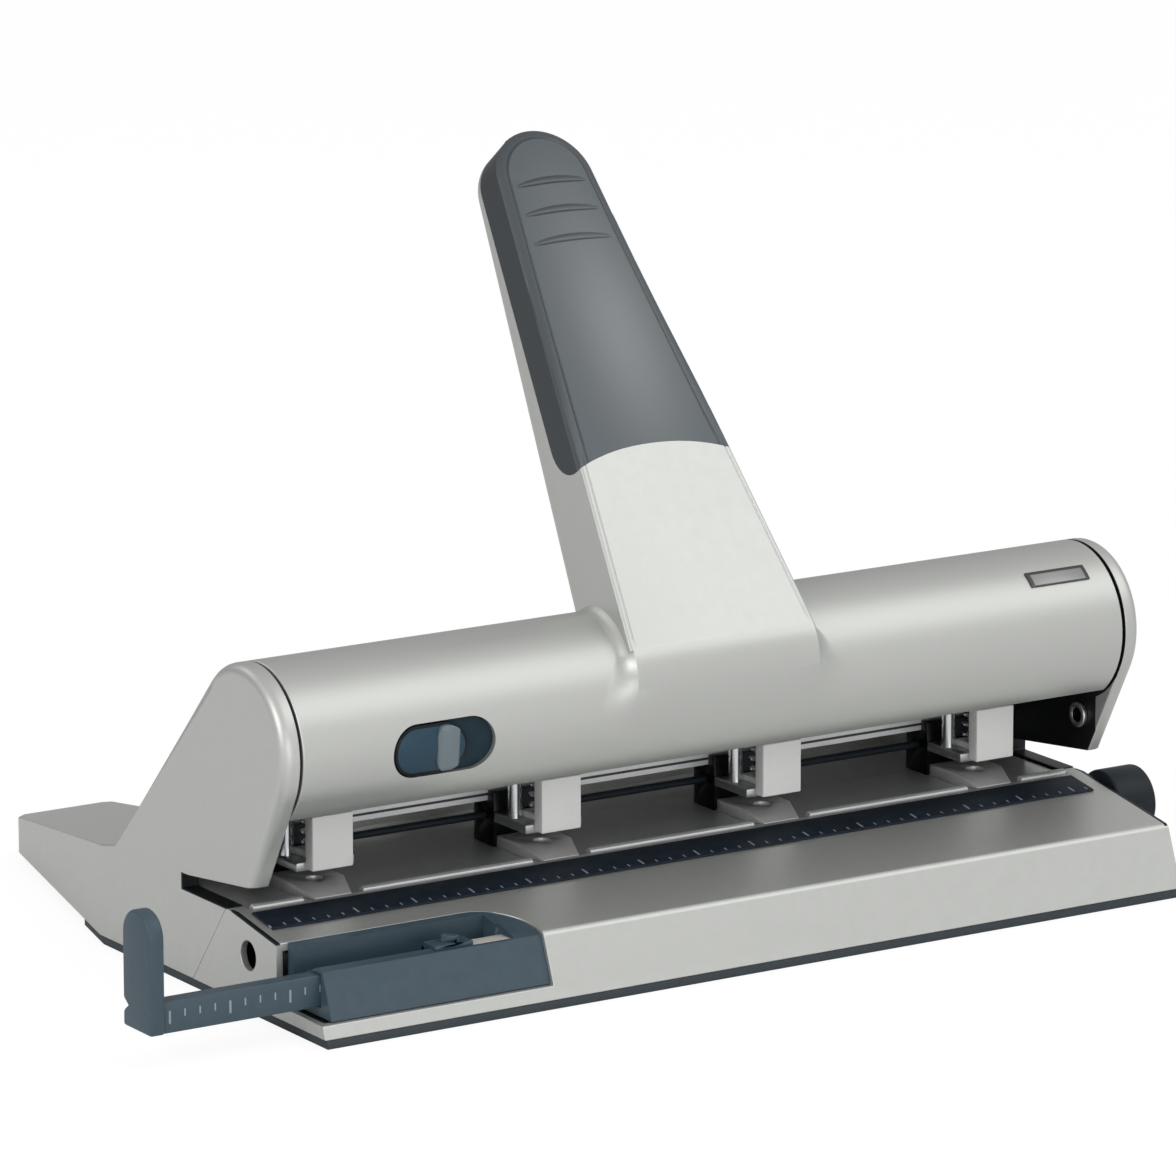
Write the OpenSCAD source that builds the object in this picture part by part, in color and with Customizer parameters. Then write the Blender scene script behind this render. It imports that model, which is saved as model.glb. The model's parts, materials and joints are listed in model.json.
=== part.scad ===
// Four-hole punch: desk machine with a pull lever, a rolling drum and four punch units.
// X runs along the row of holes, +Y is the rear, +Z is up. Millimetres.
// The origin is on the desk, under the middle of the base.

/* [Overall] */
// Width of the base, side to side
base_w = 308; // [290:1:370]
// Depth of the base, front to rear, without its legs
base_d = 144; // [136:1:175]
// Distance between neighbouring holes
hole_pitch = 80; // [66:1:84]
// Height of the lever shaft
axis_z = 80; // [79:1:96]
// Lever shaft behind the front edge of the base
axis_set = 48; // [44:1:58]
// Outer radius of the drum
drum_r = 25; // [25:0.5:30]

/* [Base] */
// Thickness of the dark mat
mat_t = 3; // [2:0.5:4]
// Mat edge inside the base edge
mat_inset = 1; // [0.5:0.5:3]
// Mat beyond the base at the rear
mat_tail = 11.5; // [8:0.5:14]
// Thickness of the steel base plate
plate_t = 2; // [1.5:0.5:3]
// Height of the front wall
front_h = 22; // [20:0.5:24]
// Lean of the front wall, bottom to top
front_rake = 7.3; // [4:0.1:10]
// Height of the paper table
table_z = 28.8; // [27:0.2:31]
// Thickness of the paper table
table_t = 2; // [1.5:0.5:3]
// Wall of the front and rear covers
wall = 2.4; // [2:0.1:3]
// Width of the printed strip
strip_w = 12.4; // [8:0.2:15]
// Thickness of the printed strip
strip_t = 0.8; // [0.5:0.1:1.2]

/* [Sides] */
// Thickness of a side casting
side_t = 6; // [5:0.5:8]
// Height of the paper slot in the sides
slot_h = 4.3; // [4.2:0.1:5.4]
// Rise of the slot's mouth towards the front
mouth_rise = 4.8; // [3:0.1:6]
// Length of the legs behind the base
leg_l = 97; // [80:1:117]
// Width of a leg where it leaves the side
leg_w = 48; // [38:1:56]
// Inward taper of a leg's outer face
leg_taper = 25; // [15:1:30]
// Width of a leg's rear end
leg_end_w = 35; // [29:1:42]
// Height of a leg's rear end
leg_end_h = 11; // [9:0.5:14]

/* [Punch units] */
// Diameter of the punches
punch_d = 5.5; // [4.6:0.1:6.6]
// Hole centre to the paper's edge
hole_margin = 12; // [10:0.5:14]
// Punch line behind the lever shaft
punch_set = 15; // [15:0.5:18]
// Travel of the punches
stroke = 8; // [6.6:0.1:8.2]
// Height of the die plates over the table
die_t = 3.6; // [3:0.1:4.3]
// Gap for the paper stack
paper_gap = 4.5; // [4.2:0.1:5.4]
// Thickness of a bracket's upper jaw
jaw_t = 2.7; // [2.2:0.1:3.3]
// Width of a bracket
bracket_w = 20; // [18:0.5:24]
// Depth of a bracket's rear body
bracket_d = 11.5; // [9.5:0.5:14]
// Height of a bracket's rear body
bracket_h = 17.2; // [16:0.2:20]
// Width of the white guide block
block_w = 14; // [12:0.5:16]
// Front face of the white block ahead of the punch line
block_set = 10.7; // [10.2:0.1:12]
// Outer diameter of the return springs
spring_od = 9; // [8.6:0.1:9.4]
// Wire of the return springs
spring_wire = 1.1; // [0.9:0.1:1.2]
// Turns of a return spring
spring_turns = 7; // [5:1:8]
// Diameter of the stroke stop pins
stop_d = 4.4; // [3.6:0.1:5]

/* [Lever] */
// Pull of the lever in degrees
lever_travel = 58; // [48:1:58]
// Lower edge of the drum below its front, in degrees
lip_angle = 52; // [44:1:52]
// Wall of the drum
drum_wall = 2.2; // [1.8:0.1:2.6]
// Diameter of the lever shaft
shaft_d = 8; // [6.6:0.2:9]
// Thickness of the press bar
bar_t = 3.4; // [2.8:0.1:4]
// Width of a cam
cam_w = 9; // [7:0.5:12]
// Lean of the handle at rest, in degrees
lean = 37.8; // [30:0.1:45]
// Handle front face ahead of the shaft
handle_set = 29.6; // [28:0.1:36]
// Length of the handle from the shaft
handle_l = 175.5; // [146:0.5:211]
// Half width of the handle at the shaft
handle_w = 33.2; // [28:0.2:40]
// Radius of the handle's tip
tip_r = 17; // [14:0.5:20]
// Depth of the handle at the drum
handle_d = 27; // [23:0.5:32]
// Depth of the handle at its tip
tip_d = 17.5; // [16.5:0.5:20]
// Depth of the grip
grip_d = 15; // [12.5:0.5:15.5]
// Start of the grip along the handle
grip_start = 61; // [51:1:73]

/* [Paper guide] */
// Length of the guide housing
house_l = 75; // [70:1:90]
// Height of the guide bar
guide_h = 9.6; // [8:0.1:10]
// Thickness of the guide bar
guide_t = 5.4; // [4.6:0.1:6.4]
// How far the guide stands out in the photo's position
guide_out = 53; // [44:1:60]
// Travel of the guide pushed in
guide_in = 48; // [40:1:50]
// Height of the end stop
stop_h = 36; // [30:1:43]
// Depth of the end stop
stop_w = 16; // [13:0.5:19]
// Thickness of the end stop
stop_t = 5; // [4:0.5:6]

/* [Chip drawer] */
// Depth of the drawer, front to rear
drawer_d = 38; // [34:1:42]
// Height of the drawer
drawer_h = 14.5; // [12:0.5:15]
// Wall of the drawer
drawer_wall = 1.6; // [1.2:0.1:2]
// Radius of the drawer's knob
knob_r = 11; // [9:0.5:13]
// Length of the drawer's knob
knob_l = 12; // [8:0.5:16]

/* [Clearances] */
// Radial clearance of a shaft in its hole
fit = 0.05; // [0.02:0.01:0.08]
// Clearance between sliding faces
slide = 0.3; // [0.2:0.05:0.4]
// Clearance round turning parts
turn = 0.8; // [0.5:0.1:1]

/* [Hidden] */
$fn = 64;
e = 0.01;
half_w = base_w / 2;
front_y = -base_d / 2;
rear_y = base_d / 2;
axis_y = front_y + axis_set;
punch_y = axis_y + punch_set;
stop_y = punch_y + hole_margin;
block_y = punch_y - block_set;
units = [for (i = [-1.5:1:1.5]) i * hole_pitch];
side_in = half_w - side_t;
drum_half = side_in - slide;
drum_in = drum_r - drum_wall;
plate_z = mat_t + plate_t;

// Front cover: the deck climbs from the front wall to the table
front_top = [front_y + front_rake, front_h];
deck_end = [block_y - 0.5, table_z + 0.5];
deck_slope = atan2(deck_end.y - front_top.y, deck_end.x - front_top.x);
function deck_z(y) = front_top.y + (y - front_top.x) * tan(deck_slope);
function front_at(z) = front_y + front_rake * (z - mat_t) / (front_h - mat_t);
seam_top = [deck_end.x + 5.5, table_z + 0.5];
seam_low = [seam_top.x + 20, mat_t];

// Heights in a punch unit
die_z = table_z + die_t;
jaw_z = die_z + paper_gap;
jaw_top = jaw_z + jaw_t;
foot_t = 2;
spring_z = jaw_top + foot_t;
tip_z = jaw_z + 0.4;
block_low = jaw_z + 0.7;
block_top = axis_z - drum_r - turn;
body_top = table_z + bracket_h;
slot_z = table_z + 0.8;
slot_y = stop_y + 8;

// The bar ends its stroke inside the drum, just above the drum's lower edge
edge_turn = lip_angle + lever_travel - 90;
bar_low = drum_in * cos(edge_turn) - turn;
cam_h = bar_low - stroke - bar_t;
bar_z = axis_z - cam_h - bar_t;
bar_half = units[3] + 10;
bar_front = axis_y - 3.3;
bar_rear = punch_y + 5;
rib_r = 2;
flange_t = 2.4;
flange_z = bar_z - flange_t;
cam_base = cam_h - rib_r - slide;
hub_r = cam_base - 0.3;
bush_d = shaft_d + 4;
disc_t = 4;
disc_x = drum_half - 1 - disc_t;

// Rear wall follows the sides' rear edge
side_slope = 48;
leg_top = table_z + 4.7;
cover_in = drum_r - 2;
function slope_y(z, r) = axis_y + (r - (z - axis_z) * cos(side_slope)) / sin(side_slope);
lip_z = axis_z - 1.5;
lip_t = 2;
shield_r = drum_in - 0.6;
shield_t = 1.4;
shield_half = disc_x - 1;
leg_y = slope_y(leg_top, drum_r);
wall_y = slope_y(leg_top, cover_in);
rear_top = leg_top - 3;
leg_rear = rear_y + leg_l;
leg_in = half_w - leg_w;
leg_end_x = half_w - leg_taper;
function leg_outer(y) = half_w - leg_taper * (y - leg_y - 10) / (leg_rear - leg_y - 20);
function leg_inner(y) = leg_in - (leg_in - leg_end_x + leg_end_w) * (y - rear_y) / (leg_l - 8);
mat_half = half_w - mat_inset;
mat_end = rear_y + mat_tail;

// Paper guide in the front left corner
pocket_y = front_y + 28;
pocket_z = mat_t + 4;
pocket_x = -half_w + 4 + house_l;
house_x = -half_w + 4;
guide_y = front_y + 9.7;
guide_z = pocket_z + 3.3;
guide_tip = -half_w - guide_out;
guide_end = house_x + 18;
window_x = [house_x + 39, house_x + 66];
lock_l = 13;
lock_travel = 12;
leaf_t = 0.5;

// Chip drawer under the dies
drawer_rear = punch_y + 5;
drawer_y = drawer_rear - drawer_d;
drawer_z = plate_z + slide;
drawer_x = -half_w + 8;
knob_y = axis_y - 3.6;
knob_z = drawer_z + drawer_h;

// Switch in the drum's front
switch_x = -99;
switch_l = 35;
switch_h = 16.5;
switch_turn = 5;
switch_travel = 9;

rail_y = stop_y + 5.5;
rail_z = table_z + 14;
rail_w = 4;
rail_h = 4.4;
rod_z = table_z + 9;
rod_d = 2.4;
bed_y = [stop_y - 1, wall_y - 16];
screw_d = 4;

silver = "silver";
slate = "slategray";
navy = "midnightblue";
steel = "lightsteelblue";

// Extrudes a side view, drawn in Y and Z, from x0 to x1
module yz(x0, x1) {
  translate([x0, 0, 0]) rotate([90, 0, 90]) linear_extrude(x1 - x0) children();
}

// A cylinder along X
module rod(x0, x1, y, z, d) {
  translate([x0, y, z]) rotate([0, 90, 0]) cylinder(h = x1 - x0, d = d);
}

// A box given by its low and high corners
module block(low, high) {
  translate(low) cube(high - low);
}

// Touching point of a line from p on a circle
function touch(c, r, p, side) =
  let (d = p - c, a = atan2(d.y, d.x) + side * acos(r / norm(d)))
  c + r * [cos(a), sin(a)];

module base_mat() {
  color("darkslategray") difference() {
    linear_extrude(mat_t) polygon([
      [-mat_half, front_y + mat_inset / 2], [mat_half, front_y + mat_inset / 2], [mat_half, leg_y + 10],
      [leg_outer(mat_end) - mat_inset, mat_end], [mat_inset - leg_outer(mat_end), mat_end],
      [-mat_half, leg_y + 10]
    ]);
    for (p = screw_spots) translate([p.x, p.y, -e]) cylinder(h = mat_t + 2 * e, d = 9);
  }
}

screw_spots = [for (x = [-1, 1], y = bed_y) [x * (half_w - 26), y + 5]];

module base_plate() {
  color(steel) difference() {
    block([-side_in + 1, front_y + 10, mat_t], [side_in - 1, wall_y, plate_z]);
    for (p = screw_spots) translate([p.x, p.y, mat_t - e])
      cylinder(h = plate_t + 2 * e, d = screw_d + 2 * fit);
  }
}

module deck_profile() {
  polygon([[front_y, mat_t], front_top, deck_end, seam_top, seam_low]);
}

module deck_hollow() {
  slope_drop = wall / cos(deck_slope);
  polygon([
    [front_y + wall + 0.4, mat_t - 1],
    [front_at(front_h - slope_drop) + wall + 0.4, front_h - slope_drop],
    [deck_end.x + e, deck_end.y - slope_drop],
    [deck_end.x + e, table_z - table_t],
    [seam_low.x + 10, table_z - table_t],
    [seam_low.x + 10, mat_t - 1]
  ]);
}

// Rounded pocket that takes the guide housing
module pocket(grow) {
  round_r = 16;
  deep = [-half_w - 10, front_y - 10, pocket_z - grow];
  block(deep, [pocket_x - round_r + grow, pocket_y + grow, 60]);
  block(deep, [pocket_x + grow, pocket_y - round_r, 60]);
  translate([pocket_x - round_r, pocket_y - round_r, pocket_z - grow]) cylinder(h = 60, r = round_r + grow);
}

// Way for the drawer through the right side
module drawer_way() {
  block(
    [half_w - 20, drawer_y - slide, plate_z],
    [half_w + 5, drawer_rear + slide, drawer_z + drawer_h + slide]
  );
}

module front_cover() {
  color(silver) difference() {
    yz(-half_w, half_w) deck_profile();
    yz(-half_w + wall, half_w - wall) deck_hollow();
    block([-side_in, deck_end.x, table_z - table_t], [side_in, seam_low.x, axis_z]);
    pocket(0);
    drawer_way();
    rod(-half_w - 1, -half_w + 5, knob_y, mat_t + 15, 9);
  }
}

// Side view of a side casting above the base
module side_profile() {
  centre = [axis_y, axis_z];
  front_low = [block_y - 10.3, slot_z + slot_h + mouth_rise];
  front_touch = touch(centre, drum_r, front_low, -1);
  rear_touch = centre + drum_r * [sin(side_slope), cos(side_slope)];
  difference() {
    union() {
      translate(centre) circle(drum_r);
      polygon([
        front_low, front_touch, centre, rear_touch, [leg_y, leg_top],
        [leg_y, mat_t], seam_low, seam_top
      ]);
    }
    polygon([
      [front_y, slot_z], [slot_y, slot_z], [slot_y, slot_z + slot_h], front_low, [front_y, front_low.y]
    ]);
  }
}

// One leg, hollow from below, on the +X side
module leg() {
  skin = 3;
  post_y = leg_rear - 30;
  end_top = mat_t + leg_end_h;
  intersection() {
    difference() {
      linear_extrude(leg_top) polygon([
        [side_in, leg_y - 12], [half_w, leg_y - 12], [half_w, leg_y + 10],
        [leg_end_x, leg_rear - 10], [leg_end_x - 8, leg_rear - 1.5], [leg_end_x - leg_end_w + 8, leg_rear],
        [leg_end_x - leg_end_w, leg_rear - 8], [leg_in, rear_y], [leg_in, wall_y], [side_in, wall_y]
      ]);
      linear_extrude(end_top - skin) polygon([
        [leg_outer(mat_end) - skin, mat_end], [leg_outer(post_y) - skin, post_y],
        [leg_inner(post_y) + skin, post_y], [leg_in + skin, mat_end]
      ]);
    }
    yz(leg_end_x - leg_end_w - 1, half_w + 1) polygon([
      [leg_y - 12, mat_t], [leg_y - 12, leg_top], [leg_y, leg_top], [leg_rear - 6, end_top],
      [leg_rear, end_top - 5], [leg_rear, mat_t]
    ]);
  }
}

module side(s) {
  color(silver) mirror([s < 0 ? 1 : 0, 0, 0]) difference() {
    union() {
      yz(side_in, half_w) side_profile();
      leg();
    }
    rod(side_in - 1, half_w - 1.8, axis_y, axis_z, bush_d + 2 * fit);
    if (s > 0) drawer_way();
  }
}

module left_side() side(-1);
module right_side() side(1);

module leg_feet() {
  color("dimgray") for (s = [-1, 1])
    translate([s * (leg_end_x - leg_end_w / 2), leg_rear - 15, 0]) cylinder(h = mat_t, d = 14);
}

// Closed back between the sides, with a lip under the drum
module rear_cover() {
  inner_r = cover_in - wall;
  color(silver) {
    yz(-side_in, side_in) polygon([
      [slope_y(lip_z, cover_in), lip_z], [wall_y, leg_top], [wall_y, plate_z],
      [slope_y(leg_top, inner_r), plate_z], [slope_y(leg_top, inner_r), leg_top],
      [slope_y(lip_z - lip_t, inner_r), lip_z - lip_t],
      [axis_y + drum_r - 0.5, lip_z - lip_t], [axis_y + drum_r - 0.5, lip_z]
    ]);
    yz(leg_w - half_w, half_w - leg_w) polygon([
      [wall_y - 1, leg_top], [rear_y - 3, rear_top], [rear_y - 3, mat_t], [rear_y - 3 - wall, mat_t],
      [rear_y - 3 - wall, rear_top - wall], [wall_y - 1, leg_top - wall]
    ]);
    block(
      [-shield_half, axis_y + shield_r - shield_t - 0.6, lip_z - lip_t],
      [shield_half, axis_y + drum_r, lip_z]
    );
  }
}

// Curved guard inside the drum, which closes the rear when the lever is pulled
module rear_shield() {
  top_turn = lever_travel + 4;
  reach = 2 * drum_r;
  color("dimgray") translate([0, axis_y, axis_z]) yz(-shield_half, shield_half) intersection() {
    difference() {
      circle(shield_r);
      circle(shield_r - shield_t);
    }
    polygon([
      [0, lip_z - axis_z], [reach, lip_z - axis_z], [reach, reach * tan(top_turn / 2)],
      reach * [cos(top_turn), sin(top_turn)], [0, 0]
    ]);
  }
}

module table_plate() {
  color("gray") difference() {
    block(
      [-side_in + slide, deck_end.x, table_z - table_t],
      [side_in - slide, slope_y(leg_top, cover_in - wall), table_z]
    );
    for (x = units) {
      translate([x, punch_y, table_z - table_t - e]) cylinder(h = table_t + 1, d = punch_d + 3);
      for (s = [-1, 1]) translate([x + s * bracket_w / 4, rail_y, table_z - table_t - e])
        cylinder(h = table_t + 1, d = screw_d + 2 * fit);
    }
  }
}

// Steel channel that carries the table behind the drawer
module bed_channel() {
  foot = 12;
  color(steel) difference() {
    for (y = bed_y) {
      block([-side_in + 1, y, plate_z], [side_in - 1, y + plate_t, table_z - table_t]);
      block([-side_in + 1, y, plate_z], [side_in - 1, y + foot, plate_z + plate_t]);
      block([-side_in + 1, y, table_z - table_t - plate_t], [side_in - 1, y + foot, table_z - table_t]);
    }
    for (p = screw_spots) translate([p.x, p.y, plate_z - e]) cylinder(h = 3, d = screw_d + 2 * fit);
    for (x = units, s = [-1, 1]) translate([x + s * bracket_w / 4, rail_y, table_z - table_t - plate_t - e])
      cylinder(h = 3, d = screw_d + 2 * fit);
  }
}

module scale_strip() {
  strip_y = deck_end.x - 2.6 - strip_w;
  color(navy) translate([0, strip_y, deck_z(strip_y)]) rotate([deck_slope, 0, 0])
    block([-half_w + 4, 0, fit], [half_w - 7, strip_w, strip_t]);
}

// C bracket: rear body that stops the paper, and the upper jaw that guides the punch
module bracket(i) {
  x = units[i];
  color("lightgray") difference() {
    union() {
      block([x - bracket_w / 2, stop_y, table_z], [x + bracket_w / 2, stop_y + bracket_d, body_top]);
      block([x - bracket_w / 2, block_y + 4.5, jaw_z], [x + bracket_w / 2, stop_y + e, jaw_top]);
    }
    translate([x, punch_y, jaw_z - e]) cylinder(h = jaw_t + 1, d = punch_d + 2 * fit);
    block(
      [x - bracket_w, rail_y - rail_w / 2 - fit, rail_z - fit],
      [x + bracket_w, rail_y + rail_w / 2 + fit, rail_z + rail_h + fit]
    );
    rod(x - bracket_w, x + bracket_w, rail_y, rod_z, rod_d + 2 * fit);
    for (s = [-1, 1]) translate([x + s * bracket_w / 4, rail_y, table_z - e])
      cylinder(h = 6, d = screw_d + 2 * fit);
  }
}

module bracket_1() bracket(0);
module bracket_2() bracket(1);
module bracket_3() bracket(2);
module bracket_4() bracket(3);

// Hardened die with a tongue that ramps down to the table
module die_plate(i) {
  x = units[i];
  tongue = 6.3;
  broad = bracket_w / 2 - 1;
  ramp_y = block_y + 9;
  color("darkgray") difference() {
    intersection() {
      translate([x, 0, table_z]) linear_extrude(die_t) polygon([
        [-broad, stop_y], [-broad, ramp_y], [-tongue, block_y], [tongue, block_y], [broad, ramp_y],
        [broad, stop_y]
      ]);
      yz(x - bracket_w, x + bracket_w) polygon([
        [block_y - 1, table_z], [block_y, table_z + 0.6], [ramp_y, die_z], [stop_y, die_z], [stop_y, table_z]
      ]);
    }
    translate([x, punch_y, table_z - e]) cylinder(h = die_t + 1, d = punch_d + 2 * fit);
  }
}

module die_plate_1() die_plate(0);
module die_plate_2() die_plate(1);
module die_plate_3() die_plate(2);
module die_plate_4() die_plate(3);

// White guide: front plate, and a foot that the spring stands on
module guide_block(i) {
  x = units[i];
  foot_half = spring_od / 2 + 0.2;
  color("white") difference() {
    union() {
      block([x - block_w / 2, block_y, block_low], [x + block_w / 2, block_y + 4.5, block_top]);
      block([x - foot_half, block_y + 4, jaw_top], [x + foot_half, punch_y + foot_half, spring_z]);
    }
    translate([x, punch_y, jaw_top - e]) cylinder(h = foot_t + 1, d = punch_d + 2 * fit);
  }
}

module guide_block_1() guide_block(0);
module guide_block_2() guide_block(1);
module guide_block_3() guide_block(2);
module guide_block_4() guide_block(3);

// Punch with a hollow-ground tip, a spring flange and a stud into the press bar
module punch_pin(i) {
  stud_d = 4;
  color("gainsboro") translate([units[i], punch_y, 0]) difference() {
    union() {
      translate([0, 0, tip_z]) cylinder(h = flange_z - tip_z + e, d = punch_d);
      translate([0, 0, flange_z]) cylinder(h = flange_t, d = spring_od + 0.4);
      translate([0, 0, flange_z]) cylinder(h = flange_t + bar_t, d = stud_d);
    }
    translate([0, 0, tip_z - punch_d / 2 + 1]) rotate([90, 0, 0])
      cylinder(h = punch_d + 2, r = punch_d / 2, center = true);
  }
}

module punch_pin_1() punch_pin(0);
module punch_pin_2() punch_pin(1);
module punch_pin_3() punch_pin(2);
module punch_pin_4() punch_pin(3);

// Return spring: one wire, straight for a wire's width at both ends
coil_r = (spring_od - spring_wire) / 2;
coil_rings = 8 * spring_turns;
coil_low = spring_z + spring_wire;
coil_high = flange_z - spring_wire;
function coil_point(k) = [
  coil_r * cos(45 * k), coil_r * sin(45 * k), coil_low + (coil_high - coil_low) * k / coil_rings
];
coil_path = concat(
  [[coil_r, 0, spring_z]],
  [for (k = [0:coil_rings]) coil_point(k)],
  [[coil_point(coil_rings).x, coil_point(coil_rings).y, flange_z]]
);
coil_last = len(coil_path) - 1;
function coil_dir(k) =
  let (d = coil_path[min(k + 1, coil_last)] - coil_path[max(k - 1, 0)]) d / norm(d);
function coil_ring(k) =
  let (t = coil_dir(k), p = coil_path[k], out = [p.x, p.y, 0] / coil_r, flat = out - (out * t) * t)
  let (u = flat / norm(flat), v = cross(t, u))
  [for (a = [0:60:300]) p + spring_wire / 2 * (cos(a) * u + sin(a) * v)];
coil_points = [for (k = [0:coil_last]) each coil_ring(k)];
coil_faces = concat(
  [for (k = [0:coil_last - 1], j = [0:5]) each
    let (a = 6 * k + j, b = 6 * k + (j + 1) % 6) [[a, a + 6, b], [b, a + 6, b + 6]]],
  [for (j = [1:4]) [0, j, j + 1]],
  [for (j = [1:4]) [6 * coil_last, 6 * coil_last + j + 1, 6 * coil_last + j]]
);
coil_spans = [for (i = [0:coil_last], j = [i + 5:1:coil_last]) norm(coil_path[i] - coil_path[j])];
coil_gap = min(coil_spans) - spring_wire;
echo("least gap of a spring to itself", coil_gap);

module punch_spring(i) {
  color("silver") translate([units[i], punch_y, 0]) polyhedron(coil_points, coil_faces);
}

module punch_spring_1() punch_spring(0);
module punch_spring_2() punch_spring(1);
module punch_spring_3() punch_spring(2);
module punch_spring_4() punch_spring(3);

// Bar that the cams press and that carries the four punches
module press_bar() {
  color(steel) difference() {
    union() {
      block([-bar_half, bar_front, bar_z], [bar_half, bar_rear, bar_z + bar_t]);
      rod(-bar_half, bar_half, axis_y, bar_z + bar_t, 2 * rib_r);
    }
    for (x = units) translate([x, punch_y, bar_z - 1]) cylinder(h = bar_t + 2, d = 4 + 2 * fit);
  }
}

// Pins beside the springs that end the stroke
module stop_pins() {
  color("whitesmoke") for (x = units)
    translate([x - spring_od / 2 - 0.5 - stop_d / 2, punch_y + 4.3, jaw_top])
      cylinder(h = bar_z - stroke - 0.4 - jaw_top, d = stop_d);
}

module tie_rail() {
  color("gainsboro") block(
    [-bar_half, rail_y - rail_w / 2, rail_z],
    [bar_half, rail_y + rail_w / 2, rail_z + rail_h]
  );
}

module tie_rod() {
  color("whitesmoke") rod(-bar_half, bar_half, rail_y, rod_z, rod_d);
}

module lever_shaft() {
  color("gainsboro") rod(-half_w + 2, half_w - 2, axis_y, axis_z, shaft_d);
}

module bush(s) {
  color("goldenrod") mirror([s < 0 ? 1 : 0, 0, 0]) difference() {
    rod(side_in, half_w - 1.8, axis_y, axis_z, bush_d);
    rod(side_in - 1, half_w, axis_y, axis_z, shaft_d + 2 * fit);
  }
}

module left_bush() bush(-1);
module right_bush() bush(1);

// The cam's radius grows evenly with the pull, so the bar moves evenly with the lever
function rib_at(t) = (cam_h + stroke * t / lever_travel) * [-sin(t), -cos(t)];
function cam_edge(t) =
  let (d = rib_at(t + 0.5) - rib_at(t - 0.5))
  rib_at(t) + (rib_r + slide) * [d.y, -d.x] / norm(d);
function spun(p, a) = [p.x * cos(a) + p.y * sin(a), -p.x * sin(a) + p.y * cos(a)];

module cam(i) {
  x = units[i];
  top_turn = lever_travel + 4;
  crest = cam_edge(top_turn);
  color("darkgray") translate([0, axis_y, axis_z]) difference() {
    union() {
      rod(x - cam_w / 2, x + cam_w / 2, 0, 0, 2 * hub_r);
      yz(x - cam_w / 2, x + cam_w / 2) polygon(concat(
        [hub_r * [0, 0.5]],
        [for (t = [-6:2:top_turn]) cam_edge(t)],
        [spun(crest, 8) * 0.98, spun(crest, 15) * 0.9, spun(crest, 45) * 0.55]
      ));
    }
    rod(-half_w, half_w, 0, 0, shaft_d + 2 * fit);
  }
}

module cam_1() cam(0);
module cam_2() cam(1);
module cam_3() cam(2);
module cam_4() cam(3);

// Disc that joins the drum to the shaft
module disc(s) {
  color(steel) mirror([s < 0 ? 1 : 0, 0, 0]) difference() {
    rod(disc_x, disc_x + disc_t, axis_y, axis_z, 2 * (drum_in - fit));
    rod(disc_x - 1, disc_x + disc_t + 1, axis_y, axis_z, shaft_d + 2 * fit);
  }
}

module left_disc() disc(-1);
module right_disc() disc(1);

// Puts a shape drawn upright at the shaft into the leaning handle's place
module leaning() {
  translate([0, axis_y, axis_z]) rotate([-lean, 0, 0]) children();
}

// Front outline of the handle, drawn along X and up the handle
module handle_outline(low) {
  rise = handle_l - tip_r;
  a = acos(tip_r / norm([handle_w, rise])) - atan2(rise, handle_w);
  top = [tip_r * cos(a), rise + tip_r * sin(a)];
  low_w = top.x + (top.y - low) * tan(a);
  arc = [for (t = [a:(180 - 2 * a) / 24:180 - a + e]) [tip_r * cos(t), rise + tip_r * sin(t)]];
  polygon(concat([[-low_w, low], [low_w, low]], arc));
}

// Side view of the handle between two depths behind its front face
module handle_slab(low, from, root_d, end_d) {
  intersection() {
    translate([0, 60, 0]) rotate([90, 0, 0]) linear_extrude(120) handle_outline(low);
    yz(-2 * handle_w, 2 * handle_w) polygon([
      [from - handle_set, low], [root_d - handle_set, low], [end_d - handle_set, handle_l + 1],
      [from - handle_set, handle_l + 1]
    ]);
  }
}

// A direction from the shaft, up from the front by an angle
function ray(a) = [-cos(a), sin(a)];

// Skirt that takes the handle's front face down onto the drum
module apron() {
  edge = handle_w + 1.5;
  translate([0, axis_y, axis_z]) intersection() {
    yz(-edge, edge) polygon([
      [0, drum_in], handle_set * [-cos(lean), sin(lean)] + 4 * [sin(lean), cos(lean)],
      (handle_set - 0.4) * ray(lean - 3), (handle_set + drum_r) / 2 * ray(lean - 10),
      (drum_r + 0.9) * ray(lean - 18), (drum_r + 0.05) * ray(lean - 26), drum_in * ray(lean - 28)
    ]);
    translate([0, 0, -drum_r]) cylinder(h = 4 * drum_r, r = 3 * drum_r);
  }
}

module switch_hole(grow) {
  r = switch_h / 2 + grow;
  run = (switch_l - switch_h) / 2;
  translate([switch_x, axis_y, axis_z]) rotate([90 + switch_turn, 0, 0]) {
    for (s = [-1, 1]) translate([s * run, 0, 0]) cylinder(h = 2 * drum_r, r = r);
    translate([-run, -r, 0]) cube([2 * run, 2 * r, 2 * drum_r]);
  }
}

// A curved plate of the drum between two radii
module curved(x0, x1, r0, r1) {
  difference() {
    rod(x0, x1, axis_y, axis_z, 2 * r1);
    rod(x0 - 1, x1 + 1, axis_y, axis_z, 2 * r0);
  }
}

module lever_body() {
  reach = 3 * drum_r;
  color(silver) difference() {
    union() {
      rod(-drum_half, drum_half, axis_y, axis_z, 2 * drum_r);
      leaning() difference() {
        handle_slab(0, 0, handle_d + 1, tip_d);
        translate([-100, -handle_set - 1, grip_start]) cube([200, grip_d + 1, handle_l]);
      }
      apron();
    }
    rod(-drum_half - 1, drum_half + 1, axis_y, axis_z, 2 * drum_in);
    translate([0, axis_y, axis_z]) yz(-drum_half - 1, drum_half + 1) polygon([
      [0, 0], reach * [-cos(lip_angle), -sin(lip_angle)], [0, -reach], [reach, -reach], [reach, 0]
    ]);
    switch_hole(0);
  }
}

module handle_grip() {
  color(slate) leaning() intersection() {
    handle_slab(0, 0, handle_d + 1, tip_d);
    translate([-100, -handle_set - 1, grip_start]) cube([200, grip_d + 1, handle_l]);
  }
}

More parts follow.
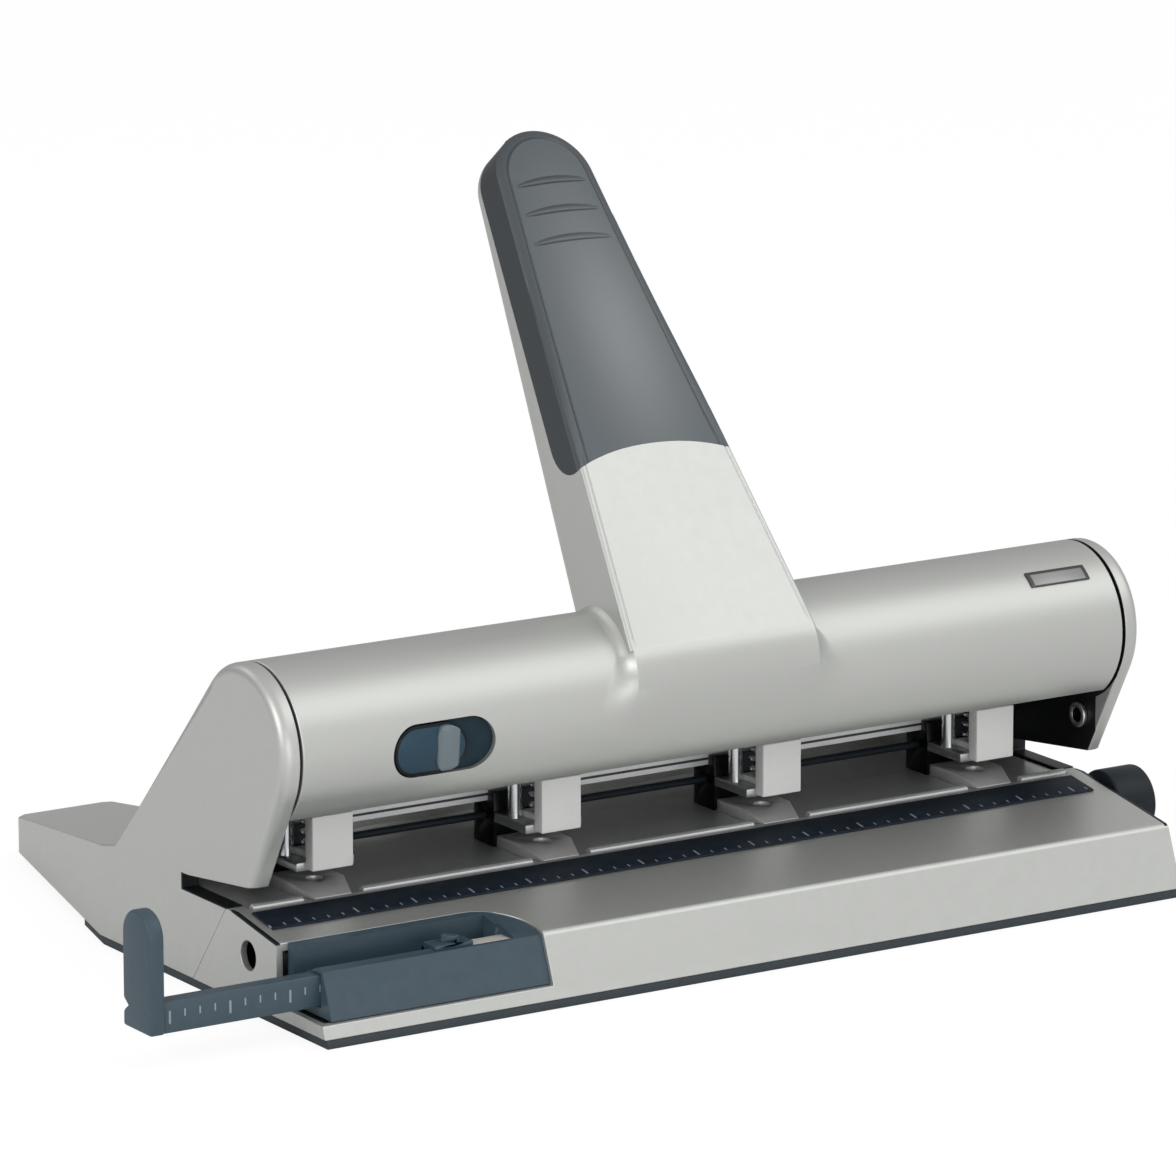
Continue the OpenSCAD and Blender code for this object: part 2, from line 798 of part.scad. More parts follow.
// Plain plate on the drum's right shoulder
module badge_plate() {
  badge_x = half_w - 37;
  color("lightgray") intersection() {
    curved(badge_x, badge_x + 22, drum_r + fit, drum_r + 0.5);
    translate([badge_x - 1, axis_y, axis_z]) rotate([-50, 0, 0])
      translate([0, -60, -2.8]) cube([24, 60, 5.6]);
  }
}

module switch_tray() {
  color(navy) intersection() {
    curved(switch_x - switch_l, switch_x + switch_l, drum_in - 1.5, drum_r - 1.6);
    switch_hole(-0.02);
  }
}

// Sliding switch with a raised thumb rib
module switch_slide() {
  color(slate) {
    intersection() {
      curved(switch_x - switch_l / 2, switch_x + switch_l / 2, drum_r - 1.3, drum_r - 0.1);
      switch_hole(-0.6);
      translate([-switch_travel, 0, 0]) switch_hole(-0.6);
    }
    intersection() {
      curved(switch_x - 2.6, switch_x + 5.6, drum_r - 1.3, drum_r + 1.6);
      switch_hole(-1.2);
      translate([-switch_travel, 0, 0]) switch_hole(-1.2);
    }
  }
}

// Housing of the paper guide, with the bar's channel and the lock's window
module guide_housing() {
  low = pocket_z + slide;
  block_back = guide_y + guide_t + 2;
  floor_z = guide_z + guide_h * 0.55;
  color("darkslategray") difference() {
    intersection() {
      union() {
        yz(house_x, pocket_x) polygon([
          [front_at(low) + 1.5, low], [front_at(front_h - 1) + 1.5, front_h - 1],
          [block_back, front_h + 0.2], [block_back, floor_z], [pocket_y - 3.6, floor_z],
          [pocket_y - 3.2, deck_z(pocket_y - 3.2)],
          [pocket_y, deck_z(pocket_y)], [pocket_y, low]
        ]);
        yz(pocket_x - 10, pocket_x) polygon([
          [front_at(low) + 1.5, low], [front_at(front_h - 1) + 1.5, front_h - 1],
          [front_top.x + 4, front_h], [pocket_y, deck_z(pocket_y)], [pocket_y, low]
        ]);
      }
      pocket(-0.1);
    }
    block(
      [house_x - 1, guide_y - slide, guide_z - slide],
      [pocket_x - 6, guide_y + guide_t + slide, guide_z + guide_h + slide]
    );
    block(
      [window_x[0], guide_y - slide, guide_z + guide_h],
      [window_x[1], block_back + 1, front_h + 10]
    );
  }
}

module guide_bar() {
  color("darkslategray") block(
    [guide_tip + stop_t, guide_y, guide_z],
    [guide_end, guide_y + guide_t, guide_z + guide_h]
  );
}

// End stop with a round top
module guide_stop() {
  low_y = guide_y - 1;
  r = stop_w / 2;
  color("darkslategray") yz(guide_tip, guide_tip + stop_t) {
    difference() {
      translate([low_y, guide_z]) square([stop_w, stop_h - r]);
      polygon([
        [low_y + stop_w + 1, guide_z + 4], [low_y + stop_w - 2.5, guide_z + 6.5],
        [low_y + stop_w + 1, guide_z + 9]
      ]);
    }
    translate([low_y + r, guide_z + stop_h - r]) circle(r);
  }
}

// Sliding lock of the guide bar, with a slanted thumb rib
module guide_lock() {
  low = guide_z + guide_h + slide + leaf_t + slide;
  x = window_x[0] + slide;
  rib_w = 2.6;
  rib_turn = 30;
  reach = (guide_t - rib_w * sin(rib_turn)) / cos(rib_turn) / 2;
  color("slategray") {
    block([x, guide_y, low], [x + lock_l, guide_y + guide_t + 1.6, low + 1.4]);
    translate([x + lock_l / 2, guide_y + guide_t / 2, low]) rotate([0, 0, rib_turn])
      block([-rib_w / 2, -reach, 0], [rib_w / 2, reach, 3.6]);
  }
}

// Leaf that presses the guide bar from above, in the window's far half
module brake_leaf() {
  low = guide_z + guide_h + slide;
  color("lightgray") block(
    [window_x[1] - 13.4, guide_y, low], [window_x[1] - 0.1, guide_y + guide_t + 1, low + leaf_t]
  );
}

module chip_drawer() {
  low = [drawer_x, drawer_y, drawer_z];
  high = [half_w, drawer_rear, drawer_z + drawer_h];
  inner = [drawer_wall, drawer_wall, drawer_wall];
  color("darkslategray") difference() {
    block(low, high);
    block(low + inner, [high.x - drawer_wall, high.y - drawer_wall, high.z + 1]);
  }
}

// Dark end of the drawer with its round knob
module drawer_front() {
  edge = 1.5;
  top = drawer_z + drawer_h + edge;
  color(navy) {
    block([half_w + slide, drawer_y - edge, drawer_z], [half_w + 3, drawer_rear + edge, top]);
    block([half_w, drawer_y + 3, drawer_z + 3], [half_w + 1, drawer_rear - 3, top - 4]);
    rod(half_w + 1, half_w + 3 + knob_l, knob_y, knob_z, 2 * knob_r);
  }
}

// Hollow rivets inside the sides, below the drum
module side_rivets() {
  color("white") for (s = [-1, 1]) mirror([s < 0 ? 1 : 0, 0, 0]) difference() {
    rod(side_in - 1.5, side_in, axis_y - 2, block_top - 4.5, 8);
    rod(side_in - 2, side_in - 0.5, axis_y - 2, block_top - 4.5, 4.6);
  }
}

module base_screws() {
  color("gray") for (p = screw_spots) translate([p.x, p.y, 0]) {
    translate([0, 0, mat_t - 2]) cylinder(h = 2, d = 7.4);
    translate([0, 0, mat_t - e]) cylinder(h = plate_t + plate_t + 1, d = screw_d);
  }
}

module bracket_screws() {
  low = table_z - table_t - plate_t;
  color("gray") for (x = units, s = [-1, 1]) translate([x + s * bracket_w / 4, rail_y, 0]) {
    translate([0, 0, low - 2.4]) cylinder(h = 2.4, d = 7);
    translate([0, 0, low - e]) cylinder(h = plate_t + table_t + 4, d = screw_d);
  }
}

base_mat();
base_plate();
front_cover();
left_side();
right_side();
rear_cover();
rear_shield();
table_plate();
bed_channel();
scale_strip();
bracket_1();
bracket_2();
bracket_3();
bracket_4();
die_plate_1();
die_plate_2();
die_plate_3();
die_plate_4();
guide_block_1();
guide_block_2();
guide_block_3();
guide_block_4();
punch_pin_1();
punch_pin_2();
punch_pin_3();
punch_pin_4();
punch_spring_1();
punch_spring_2();
punch_spring_3();
punch_spring_4();
press_bar();
stop_pins();
tie_rail();
tie_rod();
lever_shaft();
cam_1();
cam_2();
cam_3();
cam_4();
left_bush();
right_bush();
left_disc();
right_disc();
lever_body();
handle_grip();
badge_plate();
switch_tray();
switch_slide();
guide_housing();
guide_bar();
guide_stop();
guide_lock();
brake_leaf();
chip_drawer();
drawer_front();
leg_feet();
side_rivets();
base_screws();
bracket_screws();
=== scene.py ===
import json
import math

import bmesh
import bpy
from mathutils import Matrix, Vector


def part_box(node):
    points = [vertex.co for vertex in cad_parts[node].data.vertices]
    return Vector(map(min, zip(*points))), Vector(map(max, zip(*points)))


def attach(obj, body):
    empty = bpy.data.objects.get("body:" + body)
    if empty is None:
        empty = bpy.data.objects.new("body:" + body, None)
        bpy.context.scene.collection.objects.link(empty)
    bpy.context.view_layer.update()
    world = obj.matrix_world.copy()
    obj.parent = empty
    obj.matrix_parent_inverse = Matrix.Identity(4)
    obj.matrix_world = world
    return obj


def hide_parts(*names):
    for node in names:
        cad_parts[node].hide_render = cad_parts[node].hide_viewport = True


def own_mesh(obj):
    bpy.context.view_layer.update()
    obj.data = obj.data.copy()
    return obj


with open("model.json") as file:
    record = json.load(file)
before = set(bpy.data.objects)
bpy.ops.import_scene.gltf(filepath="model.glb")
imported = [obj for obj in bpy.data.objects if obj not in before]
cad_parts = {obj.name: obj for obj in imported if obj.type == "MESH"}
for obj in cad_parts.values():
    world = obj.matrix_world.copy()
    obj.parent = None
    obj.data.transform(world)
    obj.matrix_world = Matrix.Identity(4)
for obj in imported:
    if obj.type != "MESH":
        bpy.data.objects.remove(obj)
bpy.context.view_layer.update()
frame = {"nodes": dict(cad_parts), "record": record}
nodes = frame["nodes"]
body_of_node = {n: b for b, names in frame["record"]["behaviour"]["bodies"].items() for n in names}
slot_of_node = {s["node"]: s["material_slot"] for s in frame["record"]["subparts"]}

# Lengths in metres: one millimetre, and how near two points are welded or cleared as a sliver

MM = 0.001
WELD = 1e-6
SLIVER = 0.002 * MM

# Driving sizes in millimetres and degrees, with the values of the part's source where it has them

AXIS_Y, AXIS_Z = -24.0, 80.0
DRUM_R, DRUM_IN, SINK = 25.0, 22.8, 24.96
LEAN, FACE_OFF, HANDLE_L = 37.8, 29.6, 175.5
HANDLE_W, TIP_R = 33.2, 17.0
ROLL, CREASE_W = 3.2, 0.45
SWITCH_X, SWITCH_L, SWITCH_H = -99.0, 35.0, 16.5
SWITCH_TRAVEL, SWITCH_TURN = 9.0, 5.0
UNITS = range(1, 5)

to_shaft = Matrix.Translation((0, AXIS_Y * MM, AXIS_Z * MM))
to_handle = to_shaft @ Matrix.Rotation(math.radians(-LEAN), 4, "X")
switch_tilt = Matrix.Rotation(math.radians(90 + SWITCH_TURN), 4, "X")
to_switch = Matrix.Translation((SWITCH_X * MM, 0, 0)) @ to_shaft @ switch_tilt


# Selecting and editing, one piece at a time


def pick(piece):
    """Leaves only this piece selected and active."""
    bpy.ops.object.select_all(action="DESELECT")
    piece.select_set(True)
    bpy.context.view_layer.objects.active = piece
    return piece


def edit(piece, mode="EDGE"):
    pick(piece)
    bpy.ops.object.mode_set(mode="EDIT")
    bpy.ops.mesh.select_mode(type=mode)
    bpy.ops.mesh.select_all(action="DESELECT")


def edit_all(piece, mode):
    edit(piece, mode)
    bpy.ops.mesh.select_all(action="SELECT")


def leave():
    bpy.ops.object.mode_set(mode="OBJECT")


def primitive(add, name, **values):
    """Adds one of Blender's mesh primitives as the only selected object."""
    bpy.ops.object.select_all(action="DESELECT")
    add(**values)
    piece = bpy.context.object
    piece.name = name
    return piece


def select_edges(piece, test, sharper=25):
    """Selects the edges whose faces meet at more than sharper degrees and that pass the test."""
    mesh = bmesh.from_edit_mesh(piece.data)
    count = 0
    for edge in mesh.edges:
        if len(edge.link_faces) != 2:
            continue
        angle = math.degrees(edge.calc_face_angle(0))
        middle = (edge.verts[0].co + edge.verts[1].co) / 2 / MM
        if angle > sharper and test(middle, edge):
            edge.select = True
            count += 1
    bmesh.update_edit_mesh(piece.data)
    return count


def run_along(edge, axis):
    """How far an edge runs along an axis, from 0 for X to 2 for Z, in millimetres."""
    return abs(edge.verts[0].co[axis] - edge.verts[1].co[axis]) / MM


def round_edges(piece, width, segments=3, test=lambda middle, edge: True, sharper=25):
    """Rolls the picked edges over with an edit-mode bevel, width in millimetres."""
    edit(piece)
    if select_edges(piece, test, sharper):
        bpy.ops.mesh.bevel(offset=width * MM, segments=segments, affect="EDGES", clamp_overlap=True)
    leave()


def bevel_all(piece, width, segments=2, angle=30):
    """Breaks every sharp edge with a Bevel modifier, which is then applied."""
    pick(piece)
    bevel = piece.modifiers.new("edge", "BEVEL")
    bevel.width = width * MM
    bevel.segments = segments
    bevel.limit_method = "ANGLE"
    bevel.angle_limit = math.radians(angle)
    bevel.use_clamp_overlap = False
    bevel.harden_normals = False
    bpy.ops.object.modifier_apply(modifier=bevel.name)


def smooth(piece, angle=40):
    """Clears the slivers that cuts and bevels leave, and shades round all edges but the sharper ones."""
    edit_all(piece, "VERT")
    bpy.ops.mesh.remove_doubles(threshold=SLIVER)
    bpy.ops.mesh.dissolve_degenerate(threshold=SLIVER)
    bpy.ops.mesh.delete_loose()
    leave()
    bpy.ops.object.shade_smooth_by_angle(angle=math.radians(angle))


def even_shading(piece):
    """Lets the large faces rule the shading, so that flats stay flat beside small rounded ones."""
    pick(piece)
    step = piece.modifiers.new("shading", "WEIGHTED_NORMAL")
    step.keep_sharp = True
    bpy.ops.object.modifier_apply(modifier=step.name)


def solid_copy(node):
    """A separate piece with the node's form: its loose triangles welded and its flat faces joined."""
    mesh = nodes[node].data.copy()
    piece = bpy.data.objects.new(node + "_shape", mesh)
    bpy.context.scene.collection.objects.link(piece)
    mesh.materials.clear()
    edit_all(piece, "VERT")
    bpy.ops.mesh.remove_doubles(threshold=WELD)
    bpy.ops.mesh.dissolve_limited(angle_limit=math.radians(0.6))
    leave()
    return piece


def combine(piece, other, operation, keep=False):
    """Joins, cuts or intersects the piece with another one."""
    pick(piece)
    step = piece.modifiers.new("join", "BOOLEAN")
    step.operation = operation
    step.object = other
    step.solver = "EXACT"
    bpy.ops.object.modifier_apply(modifier=step.name)
    if not keep:
        bpy.data.objects.remove(other)
    return piece


def settle(piece):
    """Puts the piece's place into its mesh, so that the object sits at the origin."""
    pick(piece)
    bpy.ops.object.transform_apply(location=True, rotation=True, scale=True)
    return piece


def outward(piece):
    """Welds the piece's points and turns its faces outward."""
    edit_all(piece, "FACE")
    bpy.ops.mesh.remove_doubles(threshold=WELD)
    bpy.ops.mesh.normals_make_consistent(inside=False)
    leave()


def place(piece, node, material):
    """The piece rides on the node's body, stands in for the hidden node and takes the given material."""
    piece.data.materials.clear()
    piece.data.materials.append(material)
    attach(piece, body_of_node[node])
    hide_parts(node)
    return piece


# Shared surface effects


def group(name, inputs, outputs):
    tree = bpy.data.node_groups.new(name, "ShaderNodeTree")
    for label, kind, value in inputs:
        socket = tree.interface.new_socket(name=label, in_out="INPUT", socket_type=kind)
        socket.default_value = value
    for label, kind in outputs:
        tree.interface.new_socket(name=label, in_out="OUTPUT", socket_type=kind)
    start = tree.nodes.new("NodeGroupInput")
    end = tree.nodes.new("NodeGroupOutput")
    return tree, start, end


def node(tree, kind, **values):
    made = tree.nodes.new("ShaderNode" + kind)
    for key, value in values.items():
        if hasattr(made, key):
            setattr(made, key, value)
        else:
            made.inputs[key.replace("_", " ").title()].default_value = value
    return made


def link(tree, a, b):
    tree.links.new(a, b)


def math_node(tree, operation, a, b=None, c=None):
    made = tree.nodes.new("ShaderNodeMath")
    made.operation = operation
    for place_no, value in enumerate((a, b, c)):
        if value is None:
            continue
        if isinstance(value, (int, float)):
            made.inputs[place_no].default_value = value
        else:
            tree.links.new(value, made.inputs[place_no])
    return made.outputs[0]


def ramp(tree, value, stops):
    made = tree.nodes.new("ShaderNodeValToRGB")
    bar = made.color_ramp
    while len(bar.elements) < len(stops):
        bar.elements.new(0.5)
    for element, (position, colour) in zip(bar.elements, stops):
        element.position = position
        element.color = (*colour, 1) if len(colour) == 3 else colour
    tree.links.new(value, made.inputs["Fac"])
    return made.outputs["Color"]


def mix(tree, factor, a, b, blend="MIX"):
    made = tree.nodes.new("ShaderNodeMix")
    made.data_type = "RGBA"
    made.blend_type = blend
    for socket, value in ((made.inputs["Factor"], factor), (made.inputs[6], a), (made.inputs[7], b)):
        if isinstance(value, (int, float)):
            socket.default_value = value
        elif isinstance(value, tuple):
            socket.default_value = (*value, 1) if len(value) == 3 else value
        else:
            tree.links.new(value, socket)
    return made.outputs[2]


def make_grain():
    """Fine grain: a mottle from 0 to 1 and a bumped normal."""
    tree, start, end = group(
        "fine_grain",
        [
            ("Scale", "NodeSocketFloat", 900.0),
            ("Depth", "NodeSocketFloat", 0.2),
            ("Detail", "NodeSocketFloat", 4.0),
        ],
        [("Mottle", "NodeSocketFloat"), ("Normal", "NodeSocketVector")],
    )
    where = node(tree, "TexCoord")
    noise = node(tree, "TexNoise")
    link(tree, where.outputs["Object"], noise.inputs["Vector"])
    link(tree, start.outputs["Scale"], noise.inputs["Scale"])
    link(tree, start.outputs["Detail"], noise.inputs["Detail"])
    bump = node(tree, "Bump")
    bump.inputs["Distance"].default_value = 0.0002
    link(tree, start.outputs["Depth"], bump.inputs["Strength"])
    link(tree, noise.outputs["Fac"], bump.inputs["Height"])
    link(tree, noise.outputs["Fac"], end.inputs["Mottle"])
    link(tree, bump.outputs["Normal"], end.inputs["Normal"])
    return tree


def make_brushed():
    """Lines along one direction, as rolling or brushing leaves on sheet steel."""
    tree, start, end = group(
        "brushed_lines",
        [("Stretch", "NodeSocketVector", (20.0, 1500.0, 1500.0)), ("Depth", "NodeSocketFloat", 0.15)],
        [("Lines", "NodeSocketFloat"), ("Normal", "NodeSocketVector")],
    )
    where = node(tree, "TexCoord")
    scaled = tree.nodes.new("ShaderNodeVectorMath")
    scaled.operation = "MULTIPLY"
    link(tree, where.outputs["Object"], scaled.inputs[0])
    link(tree, start.outputs["Stretch"], scaled.inputs[1])
    noise = node(tree, "TexNoise")
    noise.inputs["Scale"].default_value = 1.0
    noise.inputs["Detail"].default_value = 5.0
    link(tree, scaled.outputs[0], noise.inputs["Vector"])
    bump = node(tree, "Bump")
    bump.inputs["Distance"].default_value = 0.0001
    link(tree, start.outputs["Depth"], bump.inputs["Strength"])
    link(tree, noise.outputs["Fac"], bump.inputs["Height"])
    link(tree, noise.outputs["Fac"], end.inputs["Lines"])
    link(tree, bump.outputs["Normal"], end.inputs["Normal"])
    return tree


def make_wear():
    """Edge wear and settled dust: a mask of the rounded edges, broken up by noise, and broad patches."""
    tree, start, end = group(
        "edge_wear",
        [("Amount", "NodeSocketFloat", 0.5), ("Patch Scale", "NodeSocketFloat", 18.0)],
        [("Edge", "NodeSocketFloat"), ("Patches", "NodeSocketFloat")],
    )
    shape = node(tree, "NewGeometry")
    where = node(tree, "TexCoord")
    broad = node(tree, "TexNoise")
    link(tree, where.outputs["Object"], broad.inputs["Vector"])
    link(tree, start.outputs["Patch Scale"], broad.inputs["Scale"])
    broad.inputs["Detail"].default_value = 3.0
    fine = node(tree, "TexNoise")
    fine.inputs["Scale"].default_value = 260.0
    link(tree, where.outputs["Object"], fine.inputs["Vector"])
    edge = ramp(tree, shape.outputs["Pointiness"], [(0.505, (0, 0, 0)), (0.56, (1, 1, 1))])
    broken = math_node(tree, "MULTIPLY", edge, fine.outputs["Fac"])
    link(tree, math_node(tree, "MULTIPLY", broken, start.outputs["Amount"]), end.inputs["Edge"])
    link(tree, broad.outputs["Fac"], end.inputs["Patches"])
    return tree


grain_group = make_grain()
brushed_group = make_brushed()
wear_group = make_wear()


def use_group(tree, which, **values):
    made = tree.nodes.new("ShaderNodeGroup")
    made.node_tree = which
    for key, value in values.items():
        made.inputs[key.replace("_", " ").title()].default_value = value
    return made


def new_material(name, **shader):
    material = bpy.data.materials.new(name)
    material.use_nodes = True
    tree = material.node_tree
    surface = tree.nodes["Principled BSDF"]
    for key, value in shader.items():
        surface.inputs[key.replace("_", " ")].default_value = value
    return material, tree, surface


def finish_plain(name, light, dark, rough, grain=900.0, depth=0.2, wear=0.3, wear_colour=None, **shader):
    """A moulded or painted finish: mottled colour, worn edges, roughness and bump from the same grain."""
    material, tree, surface = new_material(name, **shader)
    grains = use_group(tree, grain_group, scale=grain, depth=depth)
    worn = use_group(tree, wear_group, amount=wear)
    base = mix(tree, grains.outputs["Mottle"], dark, light)
    base = mix(tree, math_node(tree, "MULTIPLY", worn.outputs["Patches"], 0.35), base, dark)
    bared = wear_colour or tuple(min(1, 1.6 * c + 0.03) for c in light)
    base = mix(tree, worn.outputs["Edge"], base, bared)
    link(tree, base, surface.inputs["Base Color"])
    rough_value = math_node(tree, "MULTIPLY_ADD", grains.outputs["Mottle"], 0.12, rough - 0.06)
    link(tree, rough_value, surface.inputs["Roughness"])
    link(tree, grains.outputs["Normal"], surface.inputs["Normal"])
    return material


def finish_steel(name, light, dark, rough, stretch=(20.0, 1500.0, 1500.0), depth=0.15, **shader):
    """Rolled or ground steel with lines along one direction."""
    material, tree, surface = new_material(name, Metallic=1.0, **shader)
    lines = use_group(tree, brushed_group, depth=depth)
    lines.inputs["Stretch"].default_value = stretch
    worn = use_group(tree, wear_group, amount=0.4, patch_scale=30.0)
    base = mix(tree, lines.outputs["Lines"], dark, light)
    base = mix(tree, math_node(tree, "MULTIPLY", worn.outputs["Patches"], 0.4), base, dark)
    link(tree, base, surface.inputs["Base Color"])
    rough_value = math_node(tree, "MULTIPLY_ADD", lines.outputs["Lines"], 0.2, rough - 0.1)
    link(tree, rough_value, surface.inputs["Roughness"])
    link(tree, lines.outputs["Normal"], surface.inputs["Normal"])
    return material


# Masks and printed colours


def place_axes(tree):
    where = node(tree, "TexCoord")
    parts = node(tree, "SeparateXYZ")
    link(tree, where.outputs["Object"], parts.inputs[0])
    return parts.outputs


def product(tree, a, b):
    return math_node(tree, "MULTIPLY", a, b)


def within(tree, value, middle, half):
    """1 where the value lies no more than half, in millimetres, from the middle."""
    off = math_node(tree, "ABSOLUTE", math_node(tree, "SUBTRACT", value, middle * MM))
    return math_node(tree, "LESS_THAN", off, half * MM)


def length(tree, a, b):
    squares = (product(tree, value, value) for value in (a, b))
    return math_node(tree, "SQRT", math_node(tree, "ADD", *squares))


def from_shaft(tree, axes):
    """Distances behind and above the lever's shaft."""
    behind = math_node(tree, "SUBTRACT", axes["Y"], AXIS_Y * MM)
    above = math_node(tree, "SUBTRACT", axes["Z"], AXIS_Z * MM)
    return behind, above


def along_ray(tree, axes, y_share, z_share):
    """Distance from the lever's shaft along a direction across it."""
    behind, above = from_shaft(tree, axes)
    return math_node(tree, "ADD", product(tree, behind, y_share), product(tree, above, z_share))


def over_colour(material, mask, colour):
    """Lays a colour over the material's own where the mask is 1."""
    tree = material.node_tree
    surface = tree.nodes["Principled BSDF"]
    below = surface.inputs["Base Color"].links[0].from_socket
    link(tree, mix(tree, mask, below, colour), surface.inputs["Base Color"])
    return material


def ticks(tree, along, across, low, step, width, height):
    """A mask of plain tick marks, in millimetres: one each step along, standing up from low across."""
    whole_steps, half_step = 60, 0.5
    turn = math_node(tree, "MULTIPLY_ADD", along, 1 / (step * MM), whole_steps + half_step)
    off = math_node(tree, "SUBTRACT", math_node(tree, "FRACT", turn), half_step)
    line = math_node(tree, "LESS_THAN", math_node(tree, "ABSOLUTE", off), width / step / 2)
    top = math_node(tree, "LESS_THAN", across, (low + height) * MM)
    foot = math_node(tree, "GREATER_THAN", across, low * MM)
    return product(tree, line, product(tree, top, foot))


def ruler(tree, along, across, small, large):
    """A small tick each 5 mm and a large one each 20 mm, each given by its foot and its height."""
    fine = ticks(tree, along, across, small[0], 5, 0.5, small[1])
    broad = ticks(tree, along, across, large[0], 20, 0.7, large[1])
    return math_node(tree, "MAXIMUM", fine, broad)


# Plain finishes


def silver(name):
    """The metallic paint of the lever, the sides and the covers."""
    return finish_plain(
        name, (0.62, 0.63, 0.605), (0.54, 0.55, 0.525), 0.43, grain=2600.0, depth=0.06, wear=0.12,
        Metallic=0.75, Coat_Weight=0.15, Coat_Roughness=0.25,
    )


def slate(name):
    """The blue-grey plastic of the paper guide."""
    return finish_plain(
        name, (0.044, 0.076, 0.100), (0.034, 0.060, 0.081), 0.42, grain=1800.0, depth=0.25, wear=0.25
    )


def zinc(name):
    return finish_steel(name, (0.66, 0.67, 0.68), (0.5, 0.51, 0.52), 0.34)


silver_paint = silver("silver_paint")
slate_plastic = slate("slate_plastic")
zinc_steel = zinc("zinc_steel")
mat_plastic = finish_plain(
    "mat_plastic", (0.03, 0.042, 0.05), (0.022, 0.032, 0.04), 0.55, grain=1200.0, depth=0.4, wear=0.2
)
white_plastic = finish_plain(
    "white_plastic", (0.93, 0.935, 0.915), (0.88, 0.885, 0.86), 0.38, grain=700.0, depth=0.1, wear=0.1
)
rubber = finish_plain("rubber", (0.03, 0.03, 0.032), (0.018, 0.018, 0.02), 0.75, grain=1500.0, depth=0.5)
bronze = finish_steel("bronze", (0.62, 0.47, 0.25), (0.5, 0.37, 0.18), 0.38)
dark_steel = finish_steel("dark_steel", (0.36, 0.37, 0.375), (0.26, 0.27, 0.275), 0.42)
bright_steel = finish_steel("bright_steel", (0.82, 0.83, 0.84), (0.72, 0.73, 0.74), 0.18, depth=0.05)
table_paint = finish_plain(
    "table_paint", (0.62, 0.63, 0.63), (0.54, 0.55, 0.55), 0.22, grain=500.0, depth=0.01, wear=0.1,
    Metallic=0.5,
)
die_steel = finish_plain(
    "die_steel", (0.66, 0.66, 0.65), (0.55, 0.55, 0.54), 0.36, grain=1800.0, depth=0.05, wear=0.3,
    Metallic=0.5,
)
dark_plastic = finish_plain(
    "dark_plastic", (0.012, 0.018, 0.024), (0.008, 0.012, 0.017), 0.42, grain=1500.0, depth=0.2, wear=0.06,
    Specular_IOR_Level=0.25,
)
switch_plastic = finish_plain(
    "switch_plastic", (0.010, 0.029, 0.042), (0.007, 0.021, 0.031), 0.4, grain=1500.0, depth=0.2, wear=0.1,
    Specular_IOR_Level=0.2,
)
rib_plastic = finish_plain(
    "rib_plastic", (0.135, 0.178, 0.2), (0.125, 0.166, 0.188), 0.2, grain=1500.0, depth=0.04, wear=0.0,
    Specular_IOR_Level=0.8,
)
pale_plastic = finish_plain(
    "pale_plastic", (0.60, 0.58, 0.54), (0.52, 0.50, 0.47), 0.5, grain=900.0, depth=0.2, wear=0.1
)


# Finishes with masks of their own: print, painted shade and a painted sheen


def make_navy_film():
    """The printed strip, with ticks along its front edge."""
    material = finish_plain(
        "navy_film", (0.008, 0.013, 0.023), (0.004, 0.0075, 0.015), 0.5, grain=1600.0, depth=0.12, wear=0.3,
        wear_colour=(0.05, 0.07, 0.09), Specular_IOR_Level=0.15,
    )
    tree = material.node_tree
    axes = place_axes(tree)
    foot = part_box("scale_strip")[0][1] / MM + 0.9
    marks = ruler(tree, axes["X"], axes["Y"], (foot, 1.6), (foot, 3.4))
    return over_colour(material, product(tree, marks, 0.7), (0.30, 0.36, 0.40))


def make_bar_plastic():
    """The guide's bar, with ticks on its front face."""
    material = slate("bar_plastic")
    tree = material.node_tree
    axes = place_axes(tree)
    marks = ruler(tree, axes["X"], axes["Z"], (14.8, 2.2), (13.2, 3.8))
    front = product(tree, math_node(tree, "LESS_THAN", axes["Y"], -60 * MM), 0.6)
    return over_colour(material, product(tree, marks, front), (0.42, 0.48, 0.5))


def make_rail_steel():
    """The tie rail, with a line of painted shade along its middle for the shaded gap between its two bright
    bands.
    """
    material = finish_plain(
        "rail_steel", (0.88, 0.885, 0.89), (0.80, 0.805, 0.81), 0.3, grain=1400.0, depth=0.04, wear=0.2,
        Metallic=0.3,
    )
    tree = material.node_tree
    # Painted shade: a near-black line 0.8 mm wide along the rail's middle.
    line = within(tree, place_axes(tree)["Z"], 44.7, 0.4)
    return over_colour(material, line, (0.05, 0.052, 0.055))


def make_shaded_bracket_steel():
    """A bracket, painted near-black behind its punch as shade."""
    material = zinc("shaded_bracket_steel")
    tree = material.node_tree
    # Painted shade: everything behind the punch is painted near-black.
    rear_shade = math_node(tree, "GREATER_THAN", place_axes(tree)["Y"], 2.7 * MM)
    return over_colour(material, rear_shade, (0.02, 0.021, 0.023))


def make_badge_metal():
    """The badge: a blank panel in a dark frame."""
    material = finish_steel("badge_metal", (0.12, 0.12, 0.12), (0.09, 0.09, 0.09), 0.4, depth=0.05)
    tree = material.node_tree
    axes = place_axes(tree)
    panel = product(tree, within(tree, axes["X"], 128, 9.6), within(tree, axes["Z"], 99.25, 1.3))
    return over_colour(material, panel, (0.33, 0.33, 0.33))


def make_rivet_metal():
    """The hollow rivets, with painted shade inside their holes."""
    material = finish_steel("rivet_metal", (0.85, 0.85, 0.84), (0.75, 0.75, 0.74), 0.3, depth=0.05)
    tree = material.node_tree
    axes = place_axes(tree)
    low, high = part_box("side_rivets")
    off_y = math_node(tree, "SUBTRACT", axes["Y"], (low[1] + high[1]) / 2)
    off_z = math_node(tree, "SUBTRACT", axes["Z"], (low[2] + high[2]) / 2)
    # Painted shade: the rivet's hole is painted near-black.
    hole_shade = math_node(tree, "LESS_THAN", length(tree, off_y, off_z), 2.35 * MM)
    return over_colour(material, hole_shade, (0.01, 0.01, 0.012))


